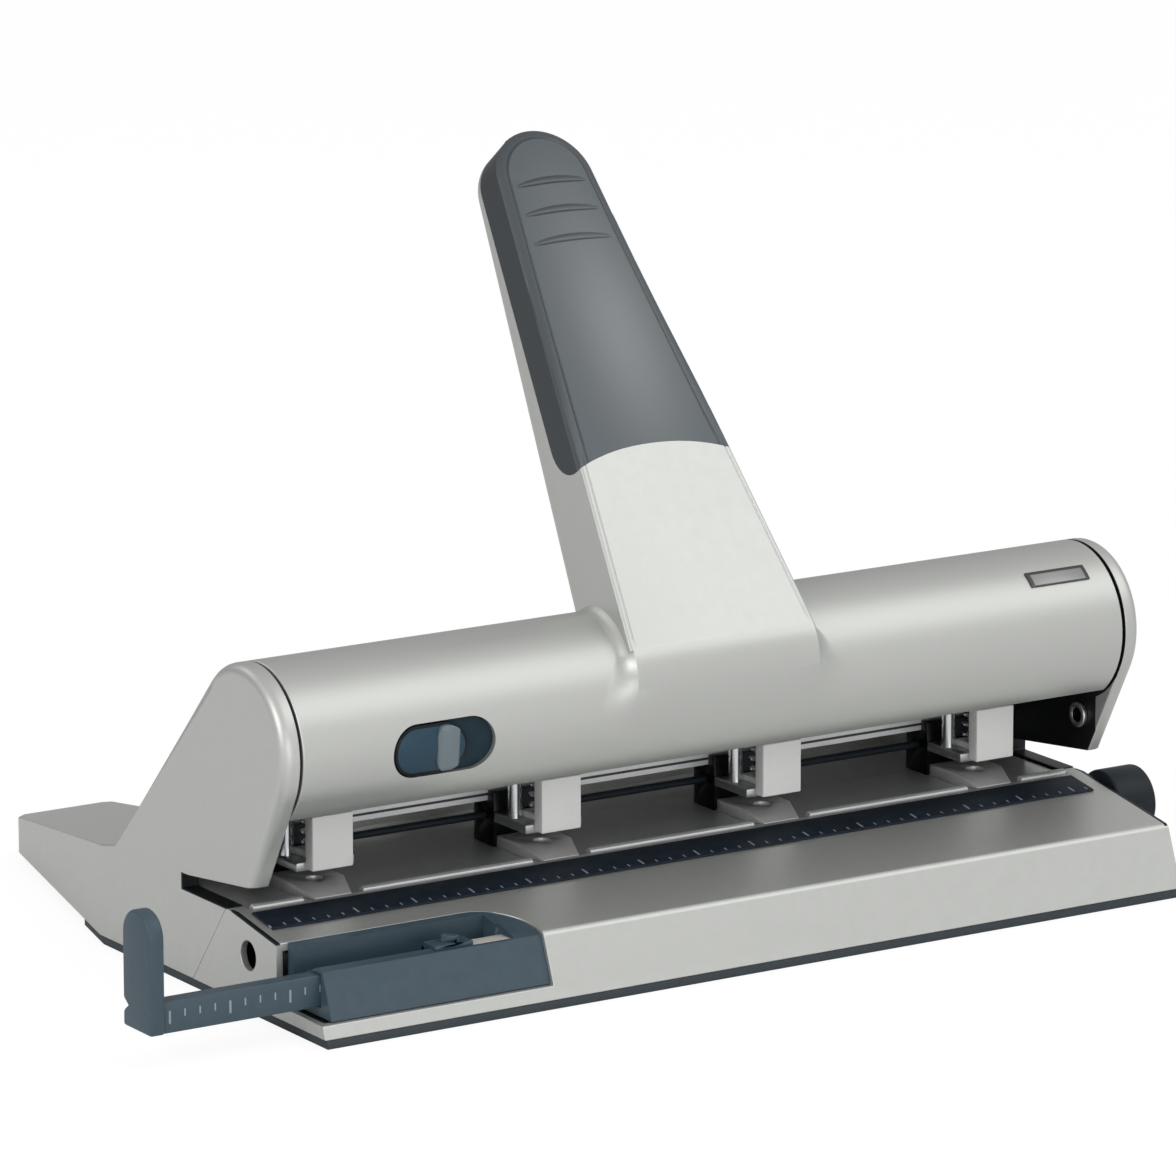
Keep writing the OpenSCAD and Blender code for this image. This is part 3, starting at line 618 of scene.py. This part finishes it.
def make_deck_paint():
    """The front cover, with painted shade on its ends above the line of the sloped deck."""
    material = silver("deck_paint")
    tree = material.node_tree
    axes = place_axes(tree)
    # Painted shade: the cover's ends above the deck line are painted near-black.
    end = math_node(tree, "GREATER_THAN", math_node(tree, "ABSOLUTE", axes["X"]), 152.6 * MM)
    slope, rise = 0.164, 32.1
    deck = math_node(tree, "MULTIPLY_ADD", axes["Y"], slope, rise * MM)
    above = math_node(tree, "GREATER_THAN", axes["Z"], deck)
    return over_colour(material, product(tree, end, above), (0.016, 0.02, 0.024))


def make_cheek_paint():
    """The sides, with painted shade in the paper's slot, on the inner face beside it and behind the drum's
    end.
    """
    material = silver("cheek_paint")
    tree = material.node_tree
    axes = place_axes(tree)
    # Painted shade: the slot, the inner face beside it and the face behind the drum's end are painted
    # near-black.
    slot = product(tree, within(tree, axes["Z"], 31.85, 2.65), within(tree, axes["Y"], -10.5, 22))
    below = math_node(tree, "LESS_THAN", axes["Z"], 62 * MM)
    beside = product(tree, below, within(tree, axes["Y"], -6, 28))
    behind = math_node(tree, "LESS_THAN", length(tree, *from_shaft(tree, axes)), (DRUM_R + 0.1) * MM)
    inner = math_node(tree, "LESS_THAN", math_node(tree, "ABSOLUTE", axes["X"]), 148.2 * MM)
    inner_shade = product(tree, inner, math_node(tree, "MAXIMUM", beside, behind))
    return over_colour(material, math_node(tree, "MAXIMUM", slot, inner_shade), (0.018, 0.02, 0.022))


def make_grip_plastic():
    """The grip, with a painted sheen in the middle of its face and painted shade on the parts that lie deeper
    than its face.
    """
    material = finish_plain(
        "grip_plastic", (0.108, 0.122, 0.132), (0.086, 0.099, 0.109), 0.4, grain=1500.0, depth=0.25, wear=0.1,
        Metallic=0.6,
    )
    tree = material.node_tree
    axes = place_axes(tree)
    lean = math.radians(LEAN)
    up_handle = along_ray(tree, axes, math.sin(lean), math.cos(lean))
    # Painted sheen: the middle of the face is painted lighter, standing for a highlight.
    offsets = []
    for value, middle, half in ((axes["X"], 4, 15), (up_handle, 104, 38)):
        off = math_node(tree, "SUBTRACT", value, middle * MM)
        offsets.append(math_node(tree, "DIVIDE", off, half * MM))
    spread = math_node(tree, "ADD", *(product(tree, offset, offset) for offset in offsets))
    painted_sheen = math_node(tree, "EXPONENT", product(tree, spread, -1.0))
    over_colour(material, product(tree, painted_sheen, 0.8), (0.215, 0.225, 0.23))
    # Painted shade: all that lies more than 2.6 mm behind the face is painted darker.
    into_handle = along_ray(tree, axes, math.cos(lean), -math.sin(lean))
    shell = math_node(tree, "GREATER_THAN", into_handle, (2.6 - FACE_OFF) * MM)
    return over_colour(material, shell, (0.052, 0.061, 0.068))


def make_lever_paint():
    """The lever, whose edge wear is kept off the drum's own round."""
    material = silver("lever_paint")
    tree = material.node_tree
    axes = place_axes(tree)
    off_drum = math_node(tree, "GREATER_THAN", length(tree, *from_shaft(tree, axes)), (DRUM_R + 1.2) * MM)
    at_end = math_node(tree, "GREATER_THAN", math_node(tree, "ABSOLUTE", axes["X"]), 145 * MM)
    amount = product(tree, math_node(tree, "MAXIMUM", off_drum, at_end), 0.12)
    worn = next(n for n in tree.nodes if n.type == "GROUP" and n.node_tree == wear_group)
    link(tree, amount, worn.inputs["Amount"])
    return material


def make_slide_plastic():
    """The switch's slide, with painted shade near its edge for the shaded gap around it, measured from the
    line between its two round ends.
    """
    material = finish_plain(
        "slide_plastic", (0.030, 0.066, 0.098), (0.024, 0.054, 0.082), 0.32, grain=1500.0, depth=0.15,
        wear=0.1, Specular_IOR_Level=0.2,
    )
    tree = material.node_tree
    axes = place_axes(tree)
    middle, half = SWITCH_X - SWITCH_TRAVEL / 2, (SWITCH_L - SWITCH_H - SWITCH_TRAVEL) / 2
    off = math_node(tree, "ABSOLUTE", math_node(tree, "SUBTRACT", axes["X"], middle * MM))
    past_end = math_node(tree, "MAXIMUM", math_node(tree, "SUBTRACT", off, half * MM), 0.0)
    upward = to_switch.to_3x3().col[1]
    reach = length(tree, past_end, along_ray(tree, axes, upward.y, upward.z))
    # Painted shade: a band 1.5 mm wide inside the slide's outline is painted near-black.
    rim = math_node(tree, "GREATER_THAN", reach, (SWITCH_H / 2 - 1.5) * MM)
    return over_colour(material, rim, (0.006, 0.009, 0.012))


navy_film = make_navy_film()
grip_plastic = make_grip_plastic()
cheek_paint = make_cheek_paint()
deck_paint = make_deck_paint()
lever_paint = make_lever_paint()
slide_plastic = make_slide_plastic()
shaded_bracket_steel = make_shaded_bracket_steel()

finish_of_slot = {
    "silver_paint": silver_paint,
    "grip_plastic": grip_plastic,
    "slate_plastic": slate_plastic,
    "mat_plastic": mat_plastic,
    "navy_film": navy_film,
    "zinc_steel": zinc_steel,
    "dark_steel": dark_steel,
    "bright_steel": bright_steel,
    "white_plastic": white_plastic,
    "bronze": bronze,
    "rubber": rubber,
}
finish_of_node = {
    "table_plate": table_paint,
    "drawer_front": dark_plastic,
    "switch_tray": switch_plastic,
    "brake_leaf": pale_plastic,
    "tie_rail": make_rail_steel(),
    # The tie rod takes the near-black plastic as painted shade, for the dark band of shade below the rail.
    "tie_rod": dark_plastic,
    "guide_bar": make_bar_plastic(),
    "badge_plate": make_badge_metal(),
    "side_rivets": make_rivet_metal(),
    "front_cover": deck_paint,
    "left_side": cheek_paint,
    "right_side": cheek_paint,
}
for number in UNITS:
    finish_of_node[f"bracket_{number}"] = shaded_bracket_steel
    finish_of_node[f"die_plate_{number}"] = die_steel


def finish_of(name):
    return finish_of_node.get(name, finish_of_slot[slot_of_node[name]])


for name, cad in nodes.items():
    cad.data.materials.clear()
    cad.data.materials.append(finish_of(name))


# Plain pieces: the CAD form with its edges broken


def eased(name, width, segments=2):
    piece = solid_copy(name)
    bevel_all(piece, width, segments)
    smooth(piece)
    return place(piece, name, finish_of(name))


eased("base_mat", 0.3)
eased("scale_strip", 0.3)
eased("badge_plate", 0.12)
eased("side_rivets", 0.3, 3)
eased("brake_leaf", 0.1)
eased("rear_cover", 0.5)
eased("guide_bar", 0.5, 3)
eased("guide_stop", 0.9, 3)
eased("guide_lock", 0.2)
eased("drawer_front", 0.8, 3)
for number in UNITS:
    eased(f"bracket_{number}", 0.3)
    eased(f"die_plate_{number}", 0.25)
    eased(f"guide_block_{number}", 0.4, 3)


# Lever: drum, handle, skirt and grip


def extrude_all(piece, shift):
    edit_all(piece, "FACE")
    bpy.ops.mesh.extrude_region_move(TRANSFORM_OT_translate={"value": tuple(c * MM for c in shift)})
    leave()


def flat_shape(name, points):
    """A filled outline, drawn from a circle whose points are moved to the given places."""
    piece = primitive(
        bpy.ops.mesh.primitive_circle_add, name, vertices=len(points), radius=0.1, fill_type="NGON"
    )
    for vertex, point in zip(piece.data.vertices, points):
        vertex.co = Vector(point) * MM
    piece.data.update()
    return piece


def round_bar(name, x0, x1, radius, y=AXIS_Y, z=AXIS_Z, sides=128):
    """A cylinder along X."""
    return settle(primitive(
        bpy.ops.mesh.primitive_cylinder_add, name, vertices=sides,
        radius=radius * MM, depth=(x1 - x0) * MM,
        location=((x0 + x1) / 2 * MM, y * MM, z * MM), rotation=(0, math.pi / 2, 0),
    ))


def handle_outline():
    """The handle's front: two straight sides that run into a round tip, as widths and distances up it."""
    rise = HANDLE_L - TIP_R
    taper = math.acos(TIP_R / math.hypot(HANDLE_W, rise)) - math.atan2(rise, HANDLE_W)
    steps = 40
    arc = [taper + (math.pi - 2 * taper) * k / steps for k in range(steps + 1)]
    points = [(TIP_R * math.cos(t), rise + TIP_R * math.sin(t)) for t in arc]
    low = points[0][0] + points[0][1] * math.tan(taper)
    return [(low, 0.0)] + points + [(-low, 0.0)]


def crease_rod(outline, side):
    """A thin rod just inside the handle's front edge, which leaves a fine groove there."""
    inset, radius, lift = 1.9, 0.42, 0.12
    low = Vector((outline[0][0] - inset, 0, 1.0))
    high = Vector((outline[1][0] - inset, 0, outline[1][1]))
    run = high - low
    rod = primitive(
        bpy.ops.mesh.primitive_cylinder_add, "crease_rod", vertices=20,
        radius=radius * MM, depth=run.length * MM,
    )
    rod.data.transform(Matrix.Rotation(side * math.atan2(run.x, run.z), 4, "Y"))
    middle = (low + high) / 2
    rod.data.transform(Matrix.Translation(Vector((side * middle.x, -FACE_OFF - lift, middle.z)) * MM))
    return rod


def handle_block():
    """The whole handle: outline, depth that thins to the tip, rolled edges and a fine groove along each."""
    outline = handle_outline()
    foot_depth, thinning = 28, 10.5
    block = flat_shape("handle_block", [(x, -FACE_OFF, s) for x, s in outline])
    extrude_all(block, (0, foot_depth, 0))
    for vertex in block.data.vertices:
        if vertex.co.y > -20 * MM:
            depth = foot_depth - thinning * vertex.co.z / (HANDLE_L * MM)
            vertex.co.y = (depth - FACE_OFF) * MM
    outward(block)

    def is_front(middle, edge):
        return middle.y < -29 and middle.z > 1 and run_along(edge, 1) < 0.5

    round_edges(block, 3.0, 6, lambda middle, edge: middle.y > -15 and middle.z > 1)
    round_edges(block, 1.0, 6, is_front, 60)
    for side in (1, -1):
        combine(block, crease_rod(outline, side), "DIFFERENCE")
    block.data.transform(to_handle)
    return block


def grip_cutter():
    """The grip's share of the handle: its lower edge arches on the front and rounds off up the sides."""
    cutter = primitive(
        bpy.ops.mesh.primitive_grid_add, "grip_cutter", x_subdivisions=24, y_subdivisions=1, size=1
    )
    width, start, shoulder, ahead, back = 80, 60.6, 27.5, -6.0, 14.0
    for vertex in cutter.data.vertices:
        x = vertex.co.x * width
        arch = 5.2 * (1 - min(1, abs(x) / shoulder) ** 2.2)
        flank = 2.0 * max(0, abs(x) - shoulder) / 5
        depth = ahead if vertex.co.y < 0 else back
        vertex.co = Vector((x, depth - FACE_OFF, start + arch - flank)) * MM
    extrude_all(cutter, (0, 0, 140))
    outward(cutter)

    def is_low_rear(middle, edge):
        return middle.y > back - 0.1 - FACE_OFF and middle.z < 75 and run_along(edge, 0) > 0.001

    round_edges(cutter, 11.5, 8, is_low_rear, 40)
    cutter.data.transform(to_handle)
    return cutter


def half_width(s):
    """Half the handle's width at this distance from the shaft, below the round tip."""
    low, high = handle_outline()[:2]
    return low[0] + (high[0] - low[0]) * s / high[1]


def grip_drop(across, inset, s):
    """How far the grip's face lies below the handle's plane: a crown, a rolled edge and a crease."""
    fade = min(1, max(0, (s - 60) / 60))
    roll = min(1.4, max(0, (ROLL - inset) / ROLL))
    crease = max(0, 1 - abs(inset - ROLL) / CREASE_W)
    return 0.15 + fade * (1.1 * across ** 2 + 1.2 * roll ** 2) + min(1, 6 * fade) * 0.4 * crease


def grip_crown():
    """A block under the grip's crowned face, laid out on spokes from the handle's middle to its outline."""
    outline = handle_outline()
    tip = outline[1][1]
    right = [(half_width(s), s) for s in (40, 50, 58, 62, 66, 70, 75, 81, 88, 98, 112, 128, 144)]
    rim = right + outline[1:-1] + [(-x, s) for x, s in reversed(right)]
    insets = (-2.0, -0.8, 0, 0.5, 1.0, 1.5, 2.0, 2.5, ROLL - CREASE_W, ROLL, ROLL + CREASE_W)
    shares = (0.85, 0.7, 0.55, 0.4, 0.25, 0.12, 0)
    count = len(insets) + len(shares)
    crown = primitive(
        bpy.ops.mesh.primitive_grid_add, "grip_crown",
        x_subdivisions=count - 1, y_subdivisions=len(rim) - 1, size=1,
    )
    for vertex in crown.data.vertices:
        column = round((vertex.co.x + 0.5) * (count - 1))
        x, s = rim[round((vertex.co.y + 0.5) * (len(rim) - 1))]
        spoke = Vector((x, s - min(s, tip)))
        reach = spoke.length
        if column < len(insets):
            far = reach - insets[column]
        else:
            far = (reach - ROLL - CREASE_W) * shares[column - len(insets)]
        spot = spoke * (far / reach) + Vector((0, min(s, tip)))
        drop = grip_drop(far / reach, reach - far, spot.y)
        vertex.co = Vector((spot.x, drop - FACE_OFF, spot.y)) * MM
    outward(crown)
    extrude_all(crown, (0, 45, 0))
    outward(crown)
    crown.data.transform(to_handle)
    return crown


def groove_rod(s, half):
    """A thin bent rod that presses one of the finger lines into the grip."""
    radius, sink, arch = 1.35, 0.45, 1.2
    rod = settle(primitive(
        bpy.ops.mesh.primitive_cylinder_add, "groove_rod", vertices=20,
        radius=radius * MM, depth=2 * half * MM, rotation=(0, math.pi / 2, 0),
    ))
    edit(rod)
    mesh = bmesh.from_edit_mesh(rod.data)
    for edge in mesh.edges:
        edge.select = run_along(edge, 0) > half
    bmesh.update_edit_mesh(rod.data)
    bpy.ops.mesh.subdivide(number_cuts=15)
    leave()
    for vertex in rod.data.vertices:
        t = vertex.co.x / (half * MM)
        thin = math.sqrt(max(0.04, 1 - t * t))
        drop = grip_drop(t * half / half_width(s), 9, s)
        vertex.co.y = vertex.co.y * thin - (FACE_OFF + sink - drop) * MM
        vertex.co.z = vertex.co.z * thin + (s + arch * (1 - t * t)) * MM
    rod.data.transform(to_handle)
    return rod


def ray(angle, radius):
    """The point at this angle above the drum's front, in millimetres from the shaft."""
    turn = math.radians(angle)
    return AXIS_Y - radius * math.cos(turn), AXIS_Z + radius * math.sin(turn)


def angle_of(point):
    return math.degrees(math.atan2(point.z / MM - AXIS_Z, AXIS_Y - point.y / MM))


def skirt():
    """A sheet that takes the handle's front face down onto the drum, with a cove along both sides."""
    cove = [k / 16 for k in range(17)]
    face = [k / 4 - 1 for k in range(8)]
    columns = [share - 2 for share in cove[:-1]] + face + [1 + share for share in cove]
    rows, low, span = 96, -26.0, 144.0
    under, lift = 23.4, 0.3
    sheet = primitive(
        bpy.ops.mesh.primitive_grid_add, "skirt",
        x_subdivisions=len(columns) - 1, y_subdivisions=rows, size=1,
    )
    for vertex in sheet.data.vertices:
        across = columns[round((vertex.co.x + 0.5) * (len(columns) - 1))]
        angle = low + span * (vertex.co.y + 0.5)
        t = min(1, max(0, (angle - low) / (LEAN - low)))
        fade = min(1, max(0, (low + span - angle) / 30))
        rise = (FACE_OFF - SINK) * t ** 3 * (4 - 3 * t) * fade * fade * (3 - 2 * fade)
        climb = FACE_OFF * math.sin(math.radians(max(0, angle - LEAN)))
        half = 32.3 - 0.107 * climb + 0.8 * (1 - t)
        soft = 4.6 + 24.0 * (1 - t)
        over = max(0, abs(across) - 1)
        x = math.copysign(half * min(1, abs(across)) + soft * over, across)
        y, z = ray(angle, SINK + rise * (1 - over) ** 2.4)
        vertex.co = Vector((x, y, z)) * MM
    extrude_all(sheet, (0, 0, lift))
    for vertex in sheet.data.vertices[(rows + 1) * len(columns):]:
        vertex.co.z -= lift * MM
        y, z = ray(angle_of(vertex.co), under)
        vertex.co.y, vertex.co.z = y * MM, z * MM
    outward(sheet)
    return sheet


def drum_shell():
    """The drum's wall, spun from its lower lip over the top to the rear."""
    half = (-147.1, -145.8, -121, -77, -70, -66)
    columns = half + tuple(-x for x in reversed(half))
    lip, sweep = -52, 232
    inner = [(x, *ray(lip, DRUM_IN)) for x in columns]
    outer = [(x, *ray(lip, DRUM_R)) for x in reversed(columns)]
    shell = flat_shape("drum", inner + outer)
    edit_all(shell, "FACE")
    bpy.ops.mesh.spin(
        steps=116, angle=math.radians(sweep), center=to_shaft.translation, axis=(1, 0, 0)
    )
    leave()
    outward(shell)
    round_edges(shell, 0.5, 3, sharper=60)
    return shell


def true_round(piece):
    """Shades the drum's faces as one turned surface, however the handle's foot divides them."""
    mesh = piece.data
    normals = [Vector(corner.vector) for corner in mesh.corner_normals]
    for face in mesh.polygons:
        for corner in face.loop_indices:
            point = mesh.vertices[mesh.loops[corner].vertex_index].co
            out = Vector((0, point.y - AXIS_Y * MM, point.z - AXIS_Z * MM))
            if abs(out.length - DRUM_R * MM) < 0.06 * MM and face.normal.dot(out.normalized()) > 0.985:
                normals[corner] = out.normalized()
    mesh.normals_split_custom_set(normals)


def switch_plug(grow, low=15, high=40):
    """A block with round ends across the drum's front, where the switch sits."""
    radius, run = SWITCH_H / 2 + grow, (SWITCH_L - SWITCH_H) / 2
    points = []
    for side in (1, -1):
        for k in range(25):
            turn = math.radians(-90 + 180 * k / 24 + (0 if side > 0 else 180))
            points.append((side * run + radius * math.cos(turn), radius * math.sin(turn), low))
    plug = flat_shape("switch_plug", points)
    extrude_all(plug, (0, 0, high - low))
    plug.data.transform(to_switch)
    outward(plug)
    return plug


def twin(piece, name):
    made = bpy.data.objects.new(name, piece.data.copy())
    bpy.context.scene.collection.objects.link(made)
    return made


def lever():
    block = handle_block()
    share = grip_cutter()
    grip = combine(twin(block, "grip"), share, "INTERSECT", keep=True)
    combine(grip, grip_crown(), "INTERSECT")
    for s in (136, 146, 156):
        combine(grip, groove_rod(s, 0.8 * half_width(s)), "DIFFERENCE")
    bevel_all(grip, 0.15, 2, 60)
    smooth(grip, 35)
    even_shading(grip)
    place(grip, "handle_grip", grip_plastic)
    combine(block, share, "DIFFERENCE")
    combine(block, round_bar("bore", -60, 60, DRUM_IN + 0.3), "DIFFERENCE")
    sweep = combine(skirt(), round_bar("bore", -60, 60, DRUM_IN + 0.3), "DIFFERENCE")
    body = drum_shell()
    body.name = "drum_and_handle"
    combine(body, switch_plug(0), "DIFFERENCE")
    combine(body, sweep, "UNION")
    combine(body, block, "UNION")
    smooth(body, 20)
    true_round(body)
    place(body, "lever_body", lever_paint)


lever()


def fit_switch(piece, gap):
    """Cuts a piece of the switch to its opening, less the gap, at both ends of its travel."""
    for shift in (0, -SWITCH_TRAVEL):
        plug = switch_plug(-gap)
        plug.data.transform(Matrix.Translation((shift * MM, 0, 0)))
        combine(piece, plug, "INTERSECT")


def switch():
    """The slide, which fits the drum's curve, and its thumb rib."""
    slide = round_bar("switch_slide_plate", -120, -78, DRUM_R - 0.1)
    combine(slide, round_bar("core", -125, -73, DRUM_R - 1.3), "DIFFERENCE")
    fit_switch(slide, 0.6)
    bevel_all(slide, 0.1, 2, 60)
    smooth(slide, 30)
    place(slide, "switch_slide", slide_plastic)
    place_rib()


def place_rib():
    """The thumb rib: a block with bulging sides under an arch and the curve of the drum."""
    middle, half, base = 1.5, 4.1, DRUM_R - 1.3
    points = []
    for k in range(64):
        turn = 2 * math.pi * k / 64
        bulge = math.copysign(abs(math.cos(turn)) ** 0.35, math.cos(turn))
        points.append((middle + half * bulge, 7.0 * math.sin(turn), base))
    rib = flat_shape("switch_rib", points)
    extrude_all(rib, (0, 0, 4))
    turns = [math.pi * k / 24 for k in range(25)]
    across = [middle + 1.05 * half * math.cos(turn) for turn in turns]
    heights = [base - 0.1 + 2.9 * math.sin(turn) for turn in turns]
    arch = flat_shape("rib_arch", [(x, -8, z) for x, z in zip(across, heights)])
    extrude_all(arch, (0, 16, 0))
    for made in (rib, arch):
        made.data.transform(to_switch)
        outward(made)
    combine(rib, arch, "INTERSECT")
    combine(rib, round_bar("cap", -115, -85, DRUM_R + 1.5), "INTERSECT")
    fit_switch(rib, 1.2)
    bevel_all(rib, 0.25, 2, 50)
    smooth(rib, 40)
    place(rib, "switch_slide", rib_plastic)


switch()


# Front cover and paper guide


def front_cover():
    """The sloped cover, with its long front edge rolled over."""
    piece = solid_copy("front_cover")

    def is_brow(middle, edge):
        return middle.y < -62 and middle.z > 20 and run_along(edge, 0) > 20

    round_edges(piece, 1.3, 5, is_brow, 20)
    bevel_all(piece, 0.35, 2, 35)
    smooth(piece, 40)
    even_shading(piece)
    place(piece, "front_cover", deck_paint)


def guide_housing():
    """The housing, whose front rail falls away behind its top edge."""
    piece = solid_copy("guide_housing")
    fall = [(-62.4, 22.5), (-54.2, 18.9), (-54.2, 30), (-62.4, 30)]
    wedge = flat_shape("fall", [(-152, y, z) for y, z in fall])
    extrude_all(wedge, (41, 0, 0))
    outward(wedge)
    combine(piece, wedge, "DIFFERENCE")

    def is_rail(middle, edge):
        return middle.y < -61.5 and (middle.z > 19 or middle.z < 8 or middle.x < -149.5)

    round_edges(piece, 0.45, 3, is_rail, 30)
    smooth(piece, 30)
    even_shading(piece)
    place(piece, "guide_housing", slate_plastic)


front_cover()
guide_housing()


def table():
    """The paper table, whose front edge is rolled up into a bead between the dies."""
    piece = solid_copy("table_plate")
    bevel_all(piece, 0.25, 2, 40)
    low, high = ([value / MM for value in corner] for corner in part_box("table_plate"))
    radius, clear, inset = 1.5, 10.2, 0.3
    ends = [low[0] + inset]
    for number in UNITS:
        x = sum(corner[0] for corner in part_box(f"die_plate_{number}")) / 2 / MM
        ends += [x - clear, x + clear]
    ends.append(high[0] - inset)
    for start, stop in zip(ends[::2], ends[1::2]):
        bead = round_bar("bead", start, stop, radius, low[1] + 1.6, high[2] + 0.3, 32)
        bevel_all(bead, 0.3, 2, 60)
        combine(piece, bead, "UNION")
    smooth(piece, 35)
    even_shading(piece)
    place(piece, "table_plate", table_paint)


table()


# Sides


def cheek(name):
    """A side casting with its outer edges rolled well over."""
    piece = solid_copy(name)

    def is_rim(middle, edge):
        return abs(abs(middle.x) - 154) < 0.1 and middle.z > 38.8

    def is_leg(middle, edge):
        return middle.y > 54 and min(point.co.z for point in edge.verts) > 12.5 * MM

    round_edges(piece, 3.4, 6, is_rim, 40)
    round_edges(piece, 2.2, 5, is_leg, 35)
    bevel_all(piece, 0.4, 2, 35)
    smooth(piece, 40)
    even_shading(piece)
    place(piece, name, cheek_paint)


cheek("left_side")
cheek("right_side")


# Return springs


def return_spring(number):
    """A round wire turned up with the Screw modifier, closed at both ends."""
    low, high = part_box(f"punch_spring_{number}")
    middle = [(a + b) / 2 for a, b in zip(low, high)]
    wire, turns, height = 1.1 * MM, 7, high[2] - low[2]
    reach = (high[0] - low[0]) / 2 - wire / 2
    spring = settle(primitive(
        bpy.ops.mesh.primitive_circle_add, f"return_spring_{number}", vertices=12,
        radius=wire / 2, fill_type="NOTHING", rotation=(math.pi / 2, 0, 0),
    ))
    edit_all(spring, "VERT")
    bpy.ops.transform.translate(value=(reach, 0, 0))
    leave()
    screw = spring.modifiers.new("turns", "SCREW")
    screw.iterations = turns
    screw.steps = screw.render_steps = 24
    screw.screw_offset = (height - 1.3 * wire) / turns
    screw.use_normal_calculate = True
    bpy.ops.object.modifier_apply(modifier=screw.name)
    edit_all(spring, "VERT")
    bpy.ops.mesh.fill_holes(sides=0)
    bpy.ops.transform.translate(value=(middle[0], middle[1], low[2] + 0.65 * wire))
    leave()
    outward(spring)
    smooth(spring, 60)
    place(spring, f"punch_spring_{number}", bright_steel)
    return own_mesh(spring)


for number in UNITS:
    return_spring(number)


# Stage, light and camera


def floor():
    """A white floor, which glows for the camera so that it runs into the background."""
    piece = primitive(bpy.ops.mesh.primitive_plane_add, "floor", size=14)
    material, tree, surface = new_material("floor_white", Roughness=0.9)
    grains = use_group(tree, grain_group, scale=60.0, depth=0.02)
    white = mix(tree, grains.outputs["Mottle"], (0.82, 0.82, 0.82), (0.86, 0.86, 0.86))
    link(tree, white, surface.inputs["Base Color"])
    glow = node(tree, "Emission", strength=1.1)
    seen = node(tree, "LightPath").outputs["Is Camera Ray"]
    blend = tree.nodes.new("ShaderNodeMixShader")
    link(tree, product(tree, seen, 0.8), blend.inputs[0])
    link(tree, surface.outputs[0], blend.inputs[1])
    link(tree, glow.outputs[0], blend.inputs[2])
    link(tree, blend.outputs[0], tree.nodes["Material Output"].inputs["Surface"])
    piece.data.materials.append(material)


def surroundings():
    """White for the camera, and for the object a soft light that is brighter from above and in front."""
    world = bpy.data.worlds.new("studio")
    bpy.context.scene.world = world
    world.use_nodes = True
    tree = world.node_tree
    back = tree.nodes["Background"]
    path = node(tree, "LightPath")
    seen = math_node(tree, "MAXIMUM", path.outputs["Is Camera Ray"], path.outputs["Is Transmission Ray"])
    where = node(tree, "TexCoord")
    toward = tree.nodes.new("ShaderNodeVectorMath")
    toward.operation = "DOT_PRODUCT"
    toward.inputs[1].default_value = (0.25, -0.75, 0.6)
    link(tree, where.outputs["Generated"], toward.inputs[0])
    soft = node(tree, "MapRange")
    for label, value in (("From Min", -0.7), ("From Max", 0.9), ("To Min", 0.28), ("To Max", 0.72)):
        soft.inputs[label].default_value = value
    link(tree, toward.outputs["Value"], soft.inputs["Value"])
    rest = product(tree, soft.outputs["Result"], math_node(tree, "SUBTRACT", 1.0, seen))
    link(tree, math_node(tree, "ADD", seen, rest), back.inputs["Strength"])
    back.inputs["Color"].default_value = (1, 1, 1, 1)


def aimed(name, data, spot, aim):
    """An object at the spot, turned to face the aim."""
    made = bpy.data.objects.new(name, data)
    bpy.context.scene.collection.objects.link(made)
    made.location = spot
    made.rotation_euler = (Vector(aim) - Vector(spot)).to_track_quat("-Z", "Y").to_euler()
    return made


def lamp(name, spot, aim, size, power):
    data = bpy.data.lights.new(name, "AREA")
    data.shape = "RECTANGLE"
    data.size, data.size_y = size
    data.energy = power
    aimed(name, data, spot, aim)


def camera():
    """The camera, as solved from the photograph."""
    data = bpy.data.cameras.new("camera")
    data.sensor_width = 36
    data.lens = 239.07
    data.clip_end = 100
    made = aimed("camera", data, (-1.2571, -1.9378, 0.6472), (-0.03181, -0.02158, 0.11207))
    bpy.context.scene.camera = made
    bpy.context.scene.view_settings.view_transform = "Standard"


floor()
surroundings()
lamp("key", (1.2, -1.1, 1.8), (0, 0, 0.1), (2.0, 1.4), 9)
lamp("left", (-1.7, -0.5, 0.9), (0, 0, 0.05), (0.9, 0.9), 9.5)
lamp("front", (-0.35, -1.9, 0.25), (0, 0, 0.05), (1.6, 0.5), 5)
lamp("rim", (-0.9, 1.3, 1.2), (0, 0, 0.1), (0.8, 0.5), 2)
camera()
